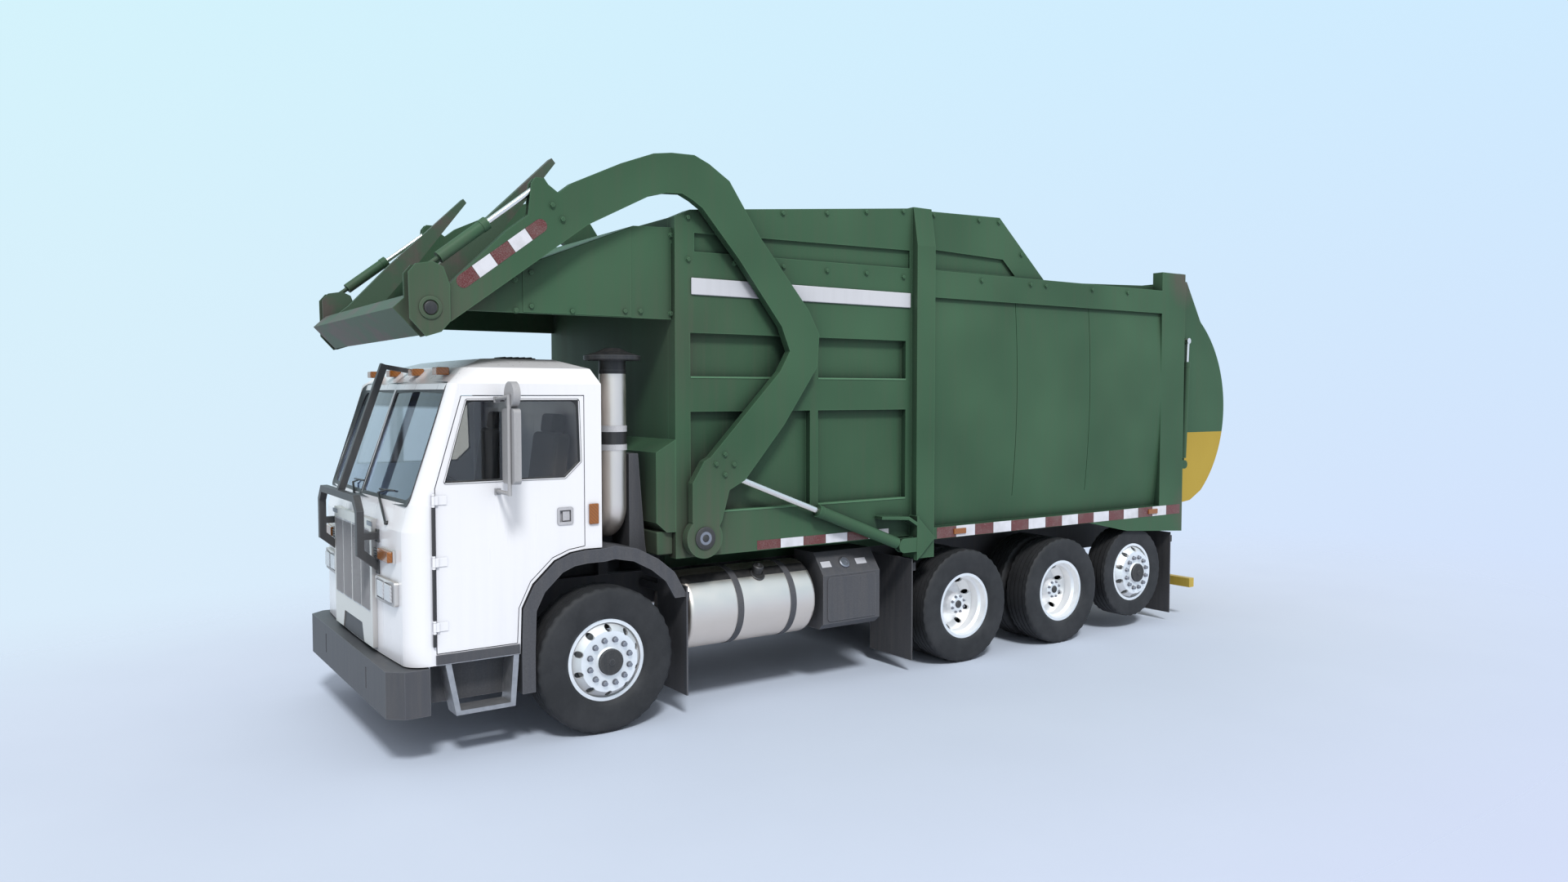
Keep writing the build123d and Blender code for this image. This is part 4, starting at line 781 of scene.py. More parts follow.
class TRUCK_OT_tyres(bpy.types.Operator):
    """Tyres with bulging walls, four grooves and a notched shoulder"""
    bl_idname = "truck.tyres"
    bl_label = "Tyres"

    def execute(self, context):
        sizes = context.scene.truck_sizes
        for wheel, (side, sign) in itertools.product(WHEELS, SIDES):
            node_name = f"{wheel}_tyre_{side}"
            low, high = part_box(node_name)
            double = wheel.startswith("drive")
            outline = tyre_outline(DRIVE_TYRE_WIDTH if double else high.x - low.x,
                                   high.z - low.z, sizes.tread_groove, sizes.groove_width)
            work = bmesh.new()
            for x in (WHEEL_X[wheel], INNER_WHEEL_X) if double else (WHEEL_X[wheel],):
                centre = Vector((sign * x, *((low + high) / 2).yz))
                rings = []
                for step in range(TYRE_STEPS):
                    angle = 2 * math.pi * step / TYRE_STEPS
                    cut = NOTCHES[step % len(NOTCHES)]
                    rings.append([work.verts.new(centre + Vector(
                        (along, (radius - notch * cut) * math.sin(angle),
                         (radius - notch * cut) * math.cos(angle))))
                        for along, radius, notch in outline])
                for near, far in zip(rings, rings[1:] + rings[:1]):
                    bridge(work, near, far)
            made = piece(f"tyre_{wheel}_{side}", work, "tyre", f"{wheel}_wheel_{side}")
            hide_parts(node_name)
        return {"FINISHED"}


NUT_CIRCLE = 0.161          # radius of the circle of wheel nuts
FLANGE_CIRCLE = 0.075       # radius of the circle of bolts on a drive flange
FLANGE_BOLT = 0.6           # size of such a bolt, as a share of a wheel nut
HUB_CAP = ((-0.054, 0.0965), (-0.002, 0.0955), (0.004, 0.090), (0.006, 0.030),
           (0.007, 0.024), (0.014, 0.022), (0.015, 0))
FLANGE_CAP = ((-0.004, 0.036), (0.006, 0.035), (0.012, 0.028), (0.013, 0))


class TRUCK_OT_wheel_fittings(bpy.types.Operator):
    """Nuts and hub caps of the wheels"""
    bl_idname = "truck.wheel_fittings"
    bl_label = "Wheel nuts and caps"

    def execute(self, context):
        sizes = context.scene.truck_sizes
        for wheel, (side, sign) in itertools.product(WHEELS, SIDES):
            cast = caster(f"{wheel}_rim_{side}")
            centre = middle(f"{wheel}_tyre_{side}")
            double = wheel.startswith("drive")
            count = sizes.drive_nuts if double else sizes.front_nuts
            circle = FLANGE_CIRCLE if double else NUT_CIRCLE
            wide = sizes.wheel_nut * (FLANGE_BOLT if double else 1.0)
            work = bmesh.new()
            for i in range(count):
                angle = 2 * math.pi * (i + 0.5) / count
                start = Vector((sign * OUTSIDE, centre.y + circle * math.cos(angle),
                                centre.z + circle * math.sin(angle)))
                bolt(work, cast(start, (-sign, 0, 0)), (sign, 0, 0), wide, 0.75)
            body = f"{wheel}_wheel_{side}"
            piece(f"nuts_{wheel}_{side}", work, "nut", body, 0.001)
            hub = cast(Vector((sign * OUTSIDE, centre.y + 0.01, centre.z)), (-sign, 0, 0))
            hub.y, hub.z = centre.y, centre.z
            work = bmesh.new()
            turn(work, FLANGE_CAP if double else HUB_CAP, hub, (sign, 0, 0),
                 28 if double else 48)
            piece(f"hub_cap_{wheel}_{side}", work, "iron", body)
        return {"FINISHED"}


# Half of the windshield as (x, height), and a door's window as (station, height)
SEAL_OUTER = ((0.0005, 1.722), (1.103, 1.722), (1.103, 2.552), (0.0005, 2.552))
SEAL_INNER = ((0.028, 1.762), (1.063, 1.762), (1.063, 2.478), (0.028, 2.478))
DOOR_WINDOW = ((-1.160, 1.880), (-0.310, 1.880), (-0.192, 1.990), (-0.206, 2.428),
               (-1.008, 2.428))


class TRUCK_OT_seals(bpy.types.Operator):
    """Rubber seals of the windshield and of the door windows"""
    bl_idname = "truck.seals"
    bl_label = "Window seals"

    def execute(self, context):
        shell = caster("cab_shell", "cab_front", "cab_roof")
        glass = caster("windshield")
        outer = rounded(SEAL_OUTER, 0, (0.001, 0.055, 0.060, 0.001))
        inner = rounded(SEAL_INNER, 0, (0.03, 0.075, 0.085, 0.03))
        work = bmesh.new()
        for _, sign in SIDES:
            rings = [[on_front(cast, sign * point.x, point.y) for point in ring]
                     for cast, ring in ((shell, outer), (glass, inner))]
            seal(work, *rings, Vector((0, -0.007, 0.001)))
        piece("windshield_seal", work, "dark", "chassis")
        outer = rounded(DOOR_WINDOW, 0.008, (0.015, 0.015, 0.015, 0.02, 0.015))
        inner = rounded(DOOR_WINDOW, -0.011, (0.012, 0.012, 0.02, 0.05, 0.06))
        for side, sign in SIDES:
            leaf, pane = caster("door_" + side), caster("door_glass_" + side)
            rings = [[on_side(cast, sign, *point) for point in ring]
                     for cast, ring in ((leaf, outer), (pane, inner))]
            work = bmesh.new()
            seal(work, *rings, Vector((sign * 0.003, 0, 0)))
            piece("door_seal_" + side, work, "dark", "door_" + side)
        return {"FINISHED"}


# Columns of the grille, as limits across, and the stations between which its layers lie
COLUMNS = ((0.020, 0.250), (0.284, 0.506))
COLUMN_HEIGHT = (0.955, 1.515)
SCREEN, CROSS_WIRE, UPRIGHT_WIRE = (-1.4752, -1.4735), (-1.4785, -1.4750), (-1.4815, -1.4785)
CROSS_PITCH, CROSS_HALF = 0.0125, 0.0022
UPRIGHT_PITCH, UPRIGHT_HALF = 0.022, 0.002
SCREEN_MARGIN = 0.012
MOUTH = ((-0.318, 0.690), (0.318, 0.690), (0.264, 0.828), (-0.264, 0.828))
MOUTH_DEPTH = (-1.466, -1.452)
VENT_X, VENT_DEPTH = (0.575, 0.675), (-1.467, -1.452)
VENT_LOW, VENT_PITCH, VENT_TALL, VENTS = 1.340, 0.018, 0.011, 4
LATCH_X, LATCH_DEPTH, LATCH_HEIGHT = (0.455, 0.590), (-1.480, -1.472), (1.552, 1.584)


def spread(low, high, pitch):
    """Evenly spaced middles between two limits, about a pitch apart."""
    count = round((high - low) / pitch)
    return [low + (i + 0.5) * (high - low) / count for i in range(count)]


class TRUCK_OT_grille_wires(bpy.types.Operator):
    """Woven wires in the grille's four columns, and the small plates beside them"""
    bl_idname = "truck.grille_wires"
    bl_label = "Grille wires"

    def execute(self, context):
        wires, screens, mouth, vents, latches = (bmesh.new() for _ in range(5))
        low, high = COLUMN_HEIGHT
        for (_, sign), column in itertools.product(SIDES, COLUMNS):
            span = across(sign, *column)
            box(screens, span, SCREEN, (low - SCREEN_MARGIN, high + SCREEN_MARGIN))
            for z in spread(low, high, CROSS_PITCH):
                box(wires, span, CROSS_WIRE, (z - CROSS_HALF, z + CROSS_HALF))
            for x in spread(*span, UPRIGHT_PITCH):
                box(wires, (x - UPRIGHT_HALF, x + UPRIGHT_HALF), UPRIGHT_WIRE, (low, high))
        prism(mouth, MOUTH, *MOUTH_DEPTH, "y")
        for _, sign in SIDES:
            for i in range(VENTS):
                z = VENT_LOW + i * VENT_PITCH
                box(vents, across(sign, *VENT_X), VENT_DEPTH, (z, z + VENT_TALL))
            box(latches, across(sign, *LATCH_X), LATCH_DEPTH, LATCH_HEIGHT)
        piece("grille_wires", wires, "case", "chassis")
        piece("grille_screens", screens, "mesh", "chassis")
        piece("grille_mouth", mouth, "frame", "chassis", 0.002)
        piece("grille_vents", vents, "dark", "chassis", 0.002)
        piece("grille_latches", latches, "nut", "chassis", 0.006)
        return {"FINISHED"}


HEADLAMPS = ((0.640, 0.795), (0.825, 0.980))         # limits across the truck
LENS_DEPTH, LENS_HEIGHT, BOWL_STATION = (-1.463, -1.4485), (1.080, 1.195), -1.4495
BOWL = ((0, 0.052), (0.010, 0.050), (0.011, 0.046), (0.003, 0.012), (0.007, 0))
# Amber lenses on each side: limits across, along and up
AMBER_LENSES = (((0.706, 0.964), (-1.474, -1.437), (1.344, 1.418)),
                ((0.248, 0.352), (-1.121, -1.032), (2.600, 2.653)),
                ((0.828, 0.932), (-1.121, -1.032), (2.600, 2.653)),
                ((1.199, 1.217), (-0.132, -0.058), (1.536, 1.684)))
TAIL_LAMPS = ((1.08, "amber"), (0.94, "red"), (0.80, "red"))
TAIL_LAMP_HEIGHT = 0.380
TAIL_RIM = ((-0.001, 0.047), (0.008, 0.047), (0.010, 0.041), (0.010, 0.036))
TAIL_LENS = ((-0.001, 0.038), (0.007, 0.037), (0.012, 0.026), (0.014, 0))


class TRUCK_OT_lamps(bpy.types.Operator):
    """Head, turn, marker, side and tail lamps"""
    bl_idname = "truck.lamps"
    bl_label = "Lamps"

    def execute(self, context):
        bowls, clear, amber, rims = (bmesh.new() for _ in range(4))
        tails = {"amber": bmesh.new(), "red": bmesh.new()}
        cast = caster("rear_guard")
        for _, sign in SIDES:
            for near, far in HEADLAMPS:
                box(clear, across(sign, near, far), LENS_DEPTH, LENS_HEIGHT)
                turn(bowls, BOWL, at(sign * (near + far) / 2, BOWL_STATION,
                                     sum(LENS_HEIGHT) / 2), (0, -1, 0))
            for wide, station, height in AMBER_LENSES:
                box(amber, across(sign, *wide), station, height)
            for x, colour_name in TAIL_LAMPS:
                seat = cast(at(sign * x, BEHIND, TAIL_LAMP_HEIGHT), (0, -1, 0))
                turn(rims, TAIL_RIM, seat, (0, 1, 0))
                turn(tails[colour_name], TAIL_LENS, seat, (0, 1, 0))
        piece("headlamp_bowls", bowls, "chrome", "chassis")
        piece("headlamp_lenses", clear, "clear_lens", "chassis", 0.006, 3)
        piece("amber_lenses", amber, "amber", "chassis", 0.008, 3)
        piece("tail_lamp_rims", rims, "dark", "chassis")
        piece("tail_lamps_amber", tails["amber"], "amber", "chassis")
        piece("tail_lamps_red", tails["red"], "red_lens", "chassis")
        return {"FINISHED"}


HINGE_PIN = (1.213, -1.240)
HINGE_RADIUS = 0.009
HINGE_LEAF = (1.198, 1.2135)
HINGE_RUNS = ((0.800, 0.884), (0.976, 1.314), (1.406, 1.724))
DOOR_SILL = ((1.199, 1.208), (-1.231, -0.655), (0.676, 0.742))
# Each wiper's root, elbow and blade tips, as (x, height)
WIPERS = (((0.785, 1.595), (0.449, 1.776), (0.418, 1.798), (0.744, 1.808)),
          ((0.040, 1.600), (-0.300, 1.800), (-0.330, 1.822), (-0.040, 1.828)))
WIPER_ROOT = ((-0.004, 0.015), (0.018, 0.013), (0.022, 0.009), (0.023, 0))
VENT_BOX = ((0.02, 0.28), (-0.43, -0.15), (2.715, 2.748))
LOUVRES, LOUVRE_START, LOUVRE_PITCH, LOUVRE_DEEP = 5, -0.40, 0.052, 0.022
LOUVRE_X, LOUVRE_HEIGHT = (0.04, 0.26), (2.744, 2.756)
FLAT_MIRROR = ((1.284, 1.476), (-0.7415, -0.7375), (1.888, 2.356))
ROUND_MIRROR = ((-0.002, 0.078), (0.003, 0.078), (0.004, 0.074), (0.006, 0))
ROUND_MIRROR_PLACE = (1.405, -0.742, 2.464)


class TRUCK_OT_cab_trim(bpy.types.Operator):
    """Hinge tubes, sill strips, wipers, roof vent and mirror glass"""
    bl_idname = "truck.cab_trim"
    bl_label = "Cab trim"

    def execute(self, context):
        tubes, sills, wipers, vent = (bmesh.new() for _ in range(4))
        x, station = HINGE_PIN
        for _, sign in SIDES:
            for low, high in HINGE_RUNS:
                turn(tubes, [(0, 0), (0, HINGE_RADIUS), (high - low, HINGE_RADIUS),
                             (high - low, 0)], at(sign * x, station, low), (0, 0, 1), 20)
                box(tubes, across(sign, *HINGE_LEAF),
                    (station - HINGE_RADIUS, station - 0.002), (low, high))
            box(sills, across(sign, *DOOR_SILL[0]), *DOOR_SILL[1:])
        piece("hinge_tubes", tubes, "dark", "chassis")
        piece("door_sills", sills, "frame", "chassis", 0.003)
        shell, glass = caster("cab_shell", "cab_front"), caster("windshield")
        for root, elbow, *tips in WIPERS:
            base = on_front(shell, *root)
            turn(wipers, WIPER_ROOT, base, (0, -1, 0), 24)
            knee = on_front(glass, *elbow) + Vector((0, -0.022, 0))
            rod(wipers, base + Vector((0, -0.014, 0)), knee, 0.008)
            ends = [on_front(glass, *tip) + Vector((0, -0.010, 0)) for tip in tips]
            rod(wipers, *ends, 0.006)
            rod(wipers, knee, (ends[0] + ends[1]) / 2, 0.006)
        piece("wipers", wipers, "dark", "chassis")
        box(vent, *VENT_BOX)
        for i in range(LOUVRES):
            start = LOUVRE_START + i * LOUVRE_PITCH
            box(vent, LOUVRE_X, (start, start + LOUVRE_DEEP), LOUVRE_HEIGHT)
        piece("roof_vent", vent, "dark", "chassis", 0.008)
        for side, sign in SIDES:
            faces = bmesh.new()
            box(faces, across(sign, *FLAT_MIRROR[0]), *FLAT_MIRROR[1:])
            x, station, height = ROUND_MIRROR_PLACE
            turn(faces, ROUND_MIRROR, at(sign * x, station, height), (0, 1, 0), 40)
            piece("mirror_glass_" + side, faces, "mirror", "door_" + side,
                  0.0015)
        return {"FINISHED"}


# Bolts on the sides, as (station, height)
HOPPER_BOLTS = ((0.701, 3.80), (0.703, 3.485), (1.117, 3.486), (1.576, 3.915),
                (2.018, 3.957), (2.436, 4.008), (2.849, 4.052), (1.579, 3.49),
                (2.019, 3.487), (2.438, 3.493), (2.853, 3.487), (3.206, 4.055),
                (3.766, 4.061), (4.024, 4.066), (4.33, 3.79), (4.42, 3.51), (3.767, 3.508),
                (4.634, 3.51), (5.318, 3.51), (5.872, 3.513))
CANOPY_BOLTS = ((-0.521, 3.311), (-0.637, 3.256), (-0.521, 3.078), (-0.632, 3.044),
                (-0.985, 3.056), (-0.216, 3.057), (0.198, 3.076), (0.324, 3.081),
                (0.579, 3.074), (0.583, 3.661))
ARM_BOLTS = ((0.961, 2.007), (0.882, 1.935), (1.042, 1.925), (0.962, 1.850),
             (-0.423, 3.762), (-0.349, 3.672))
# Each group's name, bolts, walls and body
BOLT_GROUPS = (
    ("body_bolts", HOPPER_BOLTS, ("body_sides", "body_roof"), "chassis"),
    ("canopy_bolts", CANOPY_BOLTS, ("canopy", "hopper_front"), "chassis"),
    ("arm_bolts", ARM_BOLTS, ("lift_arms",), "lift_arms"))
WHITE_STRIP = ((0.727, 2.934), (3.222, 3.350))
WHITE_STRIP_THICK = 0.014
LEDGE_X, LEDGE_HEIGHTS = (1.120, 1.184), (1.56, 2.60)
LEDGE_SPANS = ((0.722, 1.848), (1.932, 2.888))
SHOULDER = ((0.70, 1.137), (0.450, 0.588), (1.250, 1.430))
# Outline of the middle sheet on the canopy's side
CANOPY_SHEET = ((-0.580, 3.036), (0.250, 3.036), (0.250, 3.688), (-0.548, 3.362),
                (-0.580, 3.345))
CANOPY_SHEET_X = (1.1295, 1.134)
ARM_PIVOT = (0.784, 1.374)
FORK_PIVOT = (-1.269, 3.023)
PIVOT_CAP = ((-0.001, 0.086), (0.010, 0.086), (0.013, 0.081), (0.013, 0.052),
             (0.005, 0.050), (0.005, 0.028), (0.014, 0.026), (0.017, 0.020), (0.017, 0))
PIVOT_RING = ((0.004, 0.0515), (0.0135, 0.0505), (0.0135, 0.029), (0.004, 0.0285))
FORK_RING = ((-0.001, 0.075), (0.008, 0.074), (0.010, 0.070), (0.010, 0.052),
             (0.002, 0.050))
FORK_PIN = ((-0.001, 0.042), (0.009, 0.040), (0.012, 0.034), (0.012, 0))


def pivot_fitting(name, node_name, pivot, aside, profile, steps, look, body, bevel=0.0):
    """A turned fitting on both ends of a pivot, seated just aside of the pin's bore."""
    cast = caster(node_name)
    work = bmesh.new()
    for _, sign in SIDES:
        hub = at(on_side(cast, sign, pivot[0] + aside, pivot[1]).x, *pivot)
        turn(work, profile, hub, (sign, 0, 0), steps)
    piece(name, work, look, body, bevel)


class TRUCK_OT_body_trim(bpy.types.Operator):
    """Bolts, pivot rings, ledges and the white strip of the body and arms"""
    bl_idname = "truck.body_trim"
    bl_label = "Body trim"

    def execute(self, context):
        for name, spots, walls, body in BOLT_GROUPS:
            cast = caster(*walls)
            work = bmesh.new()
            for (_, sign), spot in itertools.product(SIDES, spots):
                bolt(work, on_side(cast, sign, *spot), (sign, 0, 0),
                     context.scene.truck_sizes.bolt_head)
            piece(name, work, "body", body, 0.001)
        strips, ledges, shoulders, sheets = (bmesh.new() for _ in range(4))
        cast = caster("body_sides", "body_roof")
        for _, sign in SIDES:
            plate(strips, cast, sign, *WHITE_STRIP, WHITE_STRIP_THICK)
            for low, span in itertools.product(LEDGE_HEIGHTS, LEDGE_SPANS):
                box(ledges, across(sign, *LEDGE_X), span, (low - 0.010, low + 0.004))
            box(shoulders, across(sign, *SHOULDER[0]), *SHOULDER[1:])
            prism(sheets, CANOPY_SHEET, *across(sign, *CANOPY_SHEET_X))
        piece("white_strips", strips, "white_paint", "chassis", 0.010, 3)
        piece("recess_ledges", ledges, "ledge", "chassis", 0.002)
        piece("hopper_shoulders", shoulders, "body", "chassis", 0.012)
        piece("canopy_sheets", sheets, "body", "chassis", 0.001)
        pivot_fitting("arm_pivot_caps", "lift_arms", ARM_PIVOT, 0.02, PIVOT_CAP, 48,
                      "iron", "lift_arms", 0.001)
        pivot_fitting("arm_pivot_rings", "lift_arms", ARM_PIVOT, 0.02, PIVOT_RING, 48,
                      "nut", "lift_arms")
        pivot_fitting("fork_pivot_rings", "fork_carriage", FORK_PIVOT, 0.01, FORK_RING, 40,
                      "body", "forks")
        pivot_fitting("fork_pivot_pins", "fork_carriage", FORK_PIVOT, 0.01, FORK_PIN, 32,
                      "dark", "forks")
        return {"FINISHED"}


TAPES = ("red_tape", "white_tape")
TAPE_THICK = 0.0015
TAPE_GAP = 0.0015           # half of the hairline between two bands
# Runs of tape on the rails: start, end, number of bands, and height of the lower edge
TAPE_RUNS = ((3.232, 6.820, 15, 1.172), (1.325, 2.700, 6, 1.226))
RAIL_TOP = 1.300
RAIL_LAMPS, LAMP_HALF, LAMP_HEIGHT, LAMP_THICK = (3.512, 6.342), 0.075, (1.196, 1.248), 0.016
STRIPE_START, STRIPE_END = Vector((-1.083, 3.180)), Vector((-0.470, 3.643))
STRIPE_HALF = 0.046
STRIPE_BANDS = 5


def bands(start, end, count):
    """The limits of evenly long bands between two stations, with a hairline between them."""
    step = (end - start) / count
    return [(start + i * step + TAPE_GAP, start + (i + 1) * step - TAPE_GAP)
            for i in range(count)]


def band_corners(i, near, far):
    """Corners of one band of the arm's stripe, as (along, share across). The bands at the
    two ends are round."""
    if i not in (0, STRIPE_BANDS - 1):
        return [(near, -1), (far, -1), (far, 1), (near, 1)]
    tip, root, toward = (near, far, 1) if i == 0 else (far, near, -1)
    angles = [math.pi * (0.5 - step / 8) for step in range(9)]
    return [(root, -1), (root, 1)] + [
        (tip + toward * STRIPE_HALF * (1 - math.cos(angle)), math.sin(angle))
        for angle in angles]


class TRUCK_OT_tape(bpy.types.Operator):
    """Red and white reflective tape on the rails and arms, with the small lamps in it"""
    bl_idname = "truck.tape"
    bl_label = "Reflective tape"

    def execute(self, context):
        tall = context.scene.truck_sizes.tape_height
        cast, arms = caster("body_sides"), caster("lift_arms")
        rails, stripes = ({look: bmesh.new() for look in TAPES} for _ in range(2))
        lamps = bmesh.new()
        reach = (STRIPE_END - STRIPE_START).length
        along = (STRIPE_END - STRIPE_START).normalized()
        aside = Vector((-along.y, along.x)) * STRIPE_HALF
        for _, sign in SIDES:
            for start, end, count, low in TAPE_RUNS:
                for i, span in enumerate(bands(start, end, count)):
                    plate(rails[TAPES[i % 2]], cast, sign, span,
                          (low, low + min(tall, RAIL_TOP - low)), TAPE_THICK)
            for station in RAIL_LAMPS:
                plate(lamps, cast, sign, (station - LAMP_HALF, station + LAMP_HALF),
                      LAMP_HEIGHT, LAMP_THICK)
            face = abs(on_side(arms, sign, *((STRIPE_START + STRIPE_END) / 2)).x)
            limits = across(sign, face - 0.001, face + TAPE_THICK)
            for i, (near, far) in enumerate(bands(0, reach, STRIPE_BANDS)):
                outline = [STRIPE_START + along * reached + aside * share
                           for reached, share in band_corners(i, near, far)]
                prism(stripes[TAPES[i % 2]], outline, *limits)
        for look in TAPES:
            piece("rail_" + look, rails[look], look, "chassis")
            piece("arm_" + look, stripes[look], look, "lift_arms")
        piece("rail_lamps", lamps, "amber", "chassis", 0.006, 3)
        return {"FINISHED"}


BOX_LID_Z = 1.032           # height of the middle of a battery box's sloping lid
LID_SLOPE = (0.78, 0.62)    # the way the lid faces, outwards and up
LID_PLATES = ((2.065, 0.050), (2.440, 0.055))        # station and half length
LID_PLATE_HALF = 0.028
LID_CAP_STATION = 2.258
LID_CAP = ((-0.004, 0.052), (0.012, 0.050), (0.018, 0.042), (0.018, 0.030),
           (0.010, 0.028), (0.010, 0))
TANK_STATION = 1.4
TANK_MIDDLE, TANK_RADIUS, NECK_WAY = (0.882, 0.765), 0.309, (0.62, 0.78)
NECK = ((-0.01, 0.062), (0.006, 0.062), (0.010, 0.056), (0.010, 0))
# Where the filler cap stands, as (x, height), and the way it faces, outwards and up
FILLER_PLACE, FILLER_WAY = (1.077, 1.058), (0.41, 0.91)
FILLER = ((0, 0.046), (0.024, 0.046), (0.030, 0.038), (0.031, 0.012), (0.045, 0.010),
          (0.046, 0))


class TRUCK_OT_boxes(bpy.types.Operator):
    """Plates and caps on the battery boxes and tanks"""
    bl_idname = "truck.boxes"
    bl_label = "Tanks and battery boxes"

    def execute(self, context):
        plates, caps, lid_caps = bmesh.new(), bmesh.new(), bmesh.new()
        cast = caster("side_boxes")
        along = Vector((0, 1, 0))
        for _, sign in SIDES:
            slope = Vector((sign * LID_SLOPE[0], 0, LID_SLOPE[1])).normalized()
            up = slope.cross(along) * sign
            for station, half in LID_PLATES:
                seat = on_side(cast, sign, station, BOX_LID_Z)
                corners = [seat + along * a * half + up * b * LID_PLATE_HALF
                           for a, b in ((-1, -1), (1, -1), (1, 1), (-1, 1))]
                slab(plates, [corner - slope * 0.001 for corner in corners],
                     [corner + slope * 0.002 for corner in corners])
            turn(lid_caps, LID_CAP, on_side(cast, sign, LID_CAP_STATION, BOX_LID_Z), slope)
            neck = Vector((sign * NECK_WAY[0], 0, NECK_WAY[1])).normalized()
            x, height = TANK_MIDDLE
            turn(caps, NECK, at(sign * x, TANK_STATION, height) + neck * TANK_RADIUS, neck)
            x, height = FILLER_PLACE
            turn(caps, FILLER, at(sign * x, TANK_STATION, height),
                 (sign * FILLER_WAY[0], 0, FILLER_WAY[1]), 24)
        piece("box_plates", plates, "white_paint", "chassis")
        piece("box_caps", lid_caps, "nut", "chassis")
        piece("tank_caps", caps, "dark", "chassis", 0.001)
        return {"FINISHED"}


SEAM_HALF, SEAM_DEPTH = 0.011, 0.010
CUSHION_CUTS = 26
CUSHION_ROUNDING = 0.62     # radius of the edges, as a share of the least half size


def cushion(name, half, crown, seams, place):
    """A stuffed pad: a rounded block with crowned faces and sewn channels."""
    radius = min(half) * CUSHION_ROUNDING
    work = bmesh.new()
    bmesh.ops.create_cube(work, size=2)
    bmesh.ops.subdivide_edges(work, edges=work.edges, cuts=CUSHION_CUTS, use_grid_fill=True)
    for vert in work.verts:
        share = vert.co.copy()
        full = Vector(share[i] * half[i] for i in range(3))
        core = Vector(max(-half[i] + radius, min(half[i] - radius, full[i]))
                      for i in range(3))
        away = full - core
        point = core + away.normalized() * radius if away.length > 1e-9 else full
        swell = (1 - share.x ** 2) * (1 - share.y ** 2)
        face = max(0.0, share.z) ** 3
        point.z += crown * swell * face
        for seam_x in seams:
            gap = (point.x - seam_x) / SEAM_HALF
            point.z -= SEAM_DEPTH * math.exp(-gap * gap) * face
        vert.co = place @ point
    made = piece(name, work, "fabric", "chassis")
    return made


SEAT_X = 0.60
SEAT_SEAMS = (-0.13, 0.13)
LEAN = Matrix.Rotation(math.radians(-90 - 7.6), 4, "X")
# Pads of a seat: name, half sizes, crown, seams, (station, height) and lean
PADS = (("seat_cushion_", (0.235, 0.250, 0.048), 0.020, SEAT_SEAMS, (-0.405, 1.650),
         Matrix.Identity(4)),
        ("seat_back_", (0.238, 0.250, 0.062), 0.016, SEAT_SEAMS, (-0.190, 1.930), LEAN),
        ("headrest_", (0.125, 0.075, 0.050), 0.010, (), (-0.150, 2.245), LEAN))
# Rods of a headrest: places beside its middle, lower and upper end, and radius
REST_RODS, REST_LOW, REST_HIGH, REST_RADIUS = (-0.05, 0.05), (-0.165, 2.10), (-0.152, 2.20), 0.007
# Boxes under a seat: half width, and limits along and up
SEAT_BASES = ((0.17, (-0.60, -0.19), (1.172, 1.480)), (0.20, (-0.63, -0.17), (1.500, 1.610)),
              (0.14, (-0.56, -0.22), (1.470, 1.510)))


class TRUCK_OT_seats(bpy.types.Operator):
    """Two seats with sewn cushions on pedestals"""
    bl_idname = "truck.seats"
    bl_label = "Seats"

    def execute(self, context):
        frames = bmesh.new()
        for side, sign in SIDES:
            x = sign * SEAT_X
            for name, half, crown, seams, place, lean in PADS:
                cushion(name + side, half, crown, seams,
                                    Matrix.Translation(at(x, *place)) @ lean)
            for half, station, height in SEAT_BASES:
                box(frames, (x - half, x + half), station, height)
            for shift in REST_RODS:
                rod(frames, at(x + shift, *REST_LOW), at(x + shift, *REST_HIGH), REST_RADIUS)
        made = piece("seat_frames", frames, "plastic", "chassis", 0.008)
        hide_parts("seats")
        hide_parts("seats")
        return {"FINISHED"}


# The camera's place, turn and lens
CAMERA_PLACE = (8.2298, -6.4241, 2.4677)
CAMERA_TURN = (90 - 2.5163, 0, 55.065)
CAMERA_LENS = 24.444
SENSOR_WIDTH = 36
SUN_FROM = (1.0, -0.40, 1.25)
SUN_STRENGTH, SUN_WIDTH = 2.3, 11    # width in degrees
SKY_LIGHT = 0.74
# Colours of the sky from near to far, below and above the horizon
SKY_ROWS = (("#DCEBFB", "#D6E0FB"), ("#D4F3FC", "#CFEBFF"))
SKY_WAY = (0.573, 0.82, 0)  # the way along which those colours change
FLOOR_RADIUS = 22
FLOOR_FADE = (2.6, 7.5)     # the floor starts to fade and is gone at these distances
FLOOR_SHARES = (1.0, 0.55, 0)        # a distance along the truck counts for less


def sky(world):
    """A pale sky that lights the truck, shown to the camera and in reflections as a soft
    blue that turns lavender below the horizon."""
    world.use_nodes = True
    world.node_tree.nodes.clear()
    ways = node(world, "TexCoord").outputs["Generated"]
    height = node(world, "SeparateXYZ", {0: ways}).outputs["Z"]
    sideways = node(world, "VectorMath", {0: ways, 1: SKY_WAY},
                    operation="DOT_PRODUCT").outputs["Value"]
    turned = ranged(world, sideways, -0.55, 0.55)
    rows = [mixed(world, turned, near, far) for near, far in SKY_ROWS]
    shown = mixed(world, ranged(world, height, -0.30, 0.30), *rows)
    path = node(world, "LightPath")
    seen = path.outputs["Is Camera Ray"]
    for ray in ("Is Glossy Ray", "Is Transmission Ray"):
        seen = node(world, "Math", {0: seen, 1: path.outputs[ray]}, operation="ADD",
                    use_clamp=True).outputs[0]
    light = node(world, "Background", {"Color": rgba("#F6F8FC"), "Strength": SKY_LIGHT})
    picture = node(world, "Background", {"Color": shown, "Strength": 1.0})
    both = node(world, "MixShader", {0: seen, 1: light.outputs[0], 2: picture.outputs[0]})
    node(world, "OutputWorld", {"Surface": both.outputs[0]})


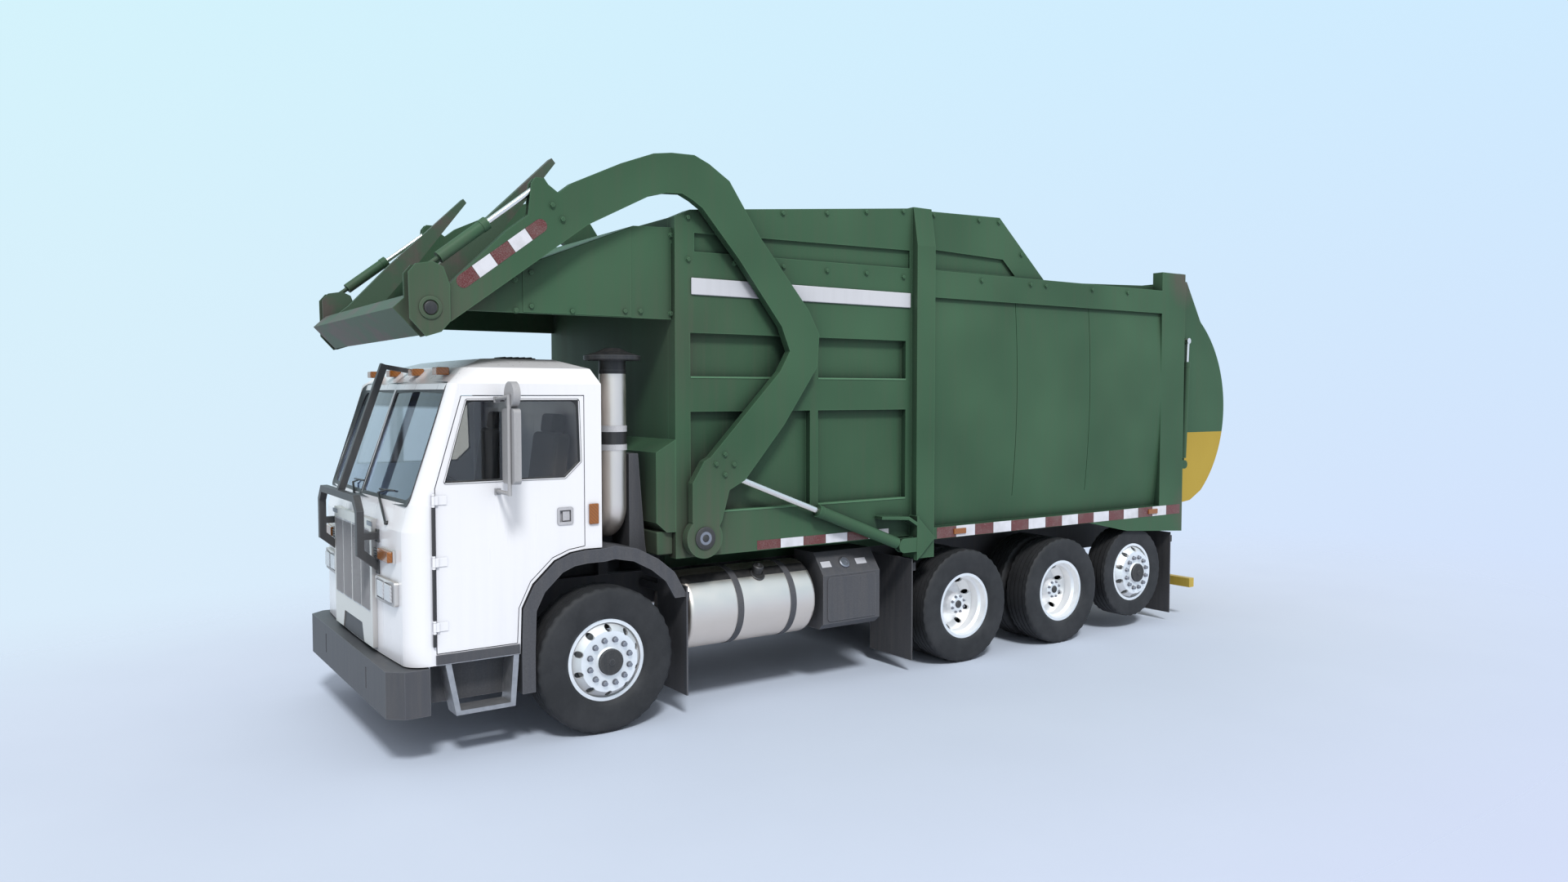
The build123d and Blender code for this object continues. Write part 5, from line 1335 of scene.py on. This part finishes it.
def floor_finish():
    # Smooth pale concrete, sealed: matt, with a barely cloudy tone. It fades out far away.
    material, place = blank("sealed_concrete_floor")
    base = mixed(material, noise(material, place, 1800, 3), "#BEC8D8", "#C6D0DF")
    shader = node(material, "BsdfPrincipled", {"Base Color": base, "Roughness": 0.9,
                                               "Specular IOR Level": 0.1})
    flat = node(material, "VectorMath", {0: place, 1: FLOOR_SHARES}, operation="MULTIPLY")
    away = node(material, "VectorMath", {0: flat.outputs[0]}, operation="LENGTH")
    gone = node(material, "MapRange", {"Value": away.outputs["Value"],
                "From Min": FLOOR_FADE[0], "From Max": FLOOR_FADE[1]},
                interpolation_type="SMOOTHSTEP")
    clear = node(material, "BsdfTransparent")
    return finish(material, node(material, "MixShader", {
        0: gone.outputs[0], 1: shader.outputs[0], 2: clear.outputs[0]}))


class TRUCK_OT_stage(bpy.types.Operator):
    """Floor, sky, sun and camera"""
    bl_idname = "truck.stage"
    bl_label = "Stage"

    def execute(self, context):
        scene = context.scene
        work = bmesh.new()
        bmesh.ops.create_circle(work, cap_ends=True, segments=96, radius=FLOOR_RADIUS,
                                matrix=Matrix.Translation((0, 0, FLOOR_Z - 0.0005)))
        mesh = bpy.data.meshes.new("floor")
        work.to_mesh(mesh)
        work.free()
        floor = bpy.data.objects.new("floor", mesh)
        mesh.materials.append(floor_finish())
        scene.collection.objects.link(floor)
        scene.world = scene.world or bpy.data.worlds.new("sky")
        sky(scene.world)
        lamp = bpy.data.lights.new("sun", "SUN")
        lamp.energy, lamp.angle = SUN_STRENGTH, math.radians(SUN_WIDTH)
        sun = bpy.data.objects.new("sun", lamp)
        sun.rotation_euler = Vector(SUN_FROM).to_track_quat("Z", "Y").to_euler()
        scene.collection.objects.link(sun)
        lens_data = bpy.data.cameras.new("camera")
        lens_data.lens, lens_data.sensor_width = CAMERA_LENS, SENSOR_WIDTH
        lens_data.clip_end = 200
        camera = bpy.data.objects.new("camera", lens_data)
        camera.location = CAMERA_PLACE
        camera.rotation_euler = [math.radians(a) for a in CAMERA_TURN]
        scene.collection.objects.link(camera)
        scene.camera = camera
        scene.view_settings.view_transform = "Standard"
        return {"FINISHED"}


OPERATORS = (TRUCK_OT_finishes, TRUCK_OT_tyres, TRUCK_OT_wheel_fittings, TRUCK_OT_seals,
             TRUCK_OT_grille_wires, TRUCK_OT_lamps, TRUCK_OT_cab_trim, TRUCK_OT_body_trim,
             TRUCK_OT_tape, TRUCK_OT_boxes, TRUCK_OT_seats, TRUCK_OT_stage)


class TRUCK_PT_panel(bpy.types.Panel):
    """Lists the operators that build the truck's looks"""
    bl_idname = "TRUCK_PT_panel"
    bl_label = "Front loader truck"
    bl_space_type = "VIEW_3D"
    bl_region_type = "UI"
    bl_category = "Truck"

    def draw(self, context):
        for owner, kind in ((context.scene.truck_colours, TruckColours),
                            (context.scene.truck_sizes, TruckSizes)):
            for name in kind.__annotations__:
                self.layout.prop(owner, name)
        for operator in OPERATORS:
            self.layout.operator(operator.bl_idname)


CLASSES = (TruckColours, TruckSizes, *OPERATORS, TRUCK_PT_panel)


def register():
    for made in CLASSES:
        bpy.utils.register_class(made)
    bpy.types.Scene.truck_colours = PointerProperty(type=TruckColours)
    bpy.types.Scene.truck_sizes = PointerProperty(type=TruckSizes)


def unregister():
    del bpy.types.Scene.truck_sizes
    del bpy.types.Scene.truck_colours
    for made in reversed(CLASSES):
        bpy.utils.unregister_class(made)


def main():
    register()
    for operator in OPERATORS:
        group, name = operator.bl_idname.split(".")
        result = getattr(getattr(bpy.ops, group), name)()
        if result != {"FINISHED"}:
            raise RuntimeError(f"{operator.bl_label} did not finish")


if __name__ == "__main__":
    main()
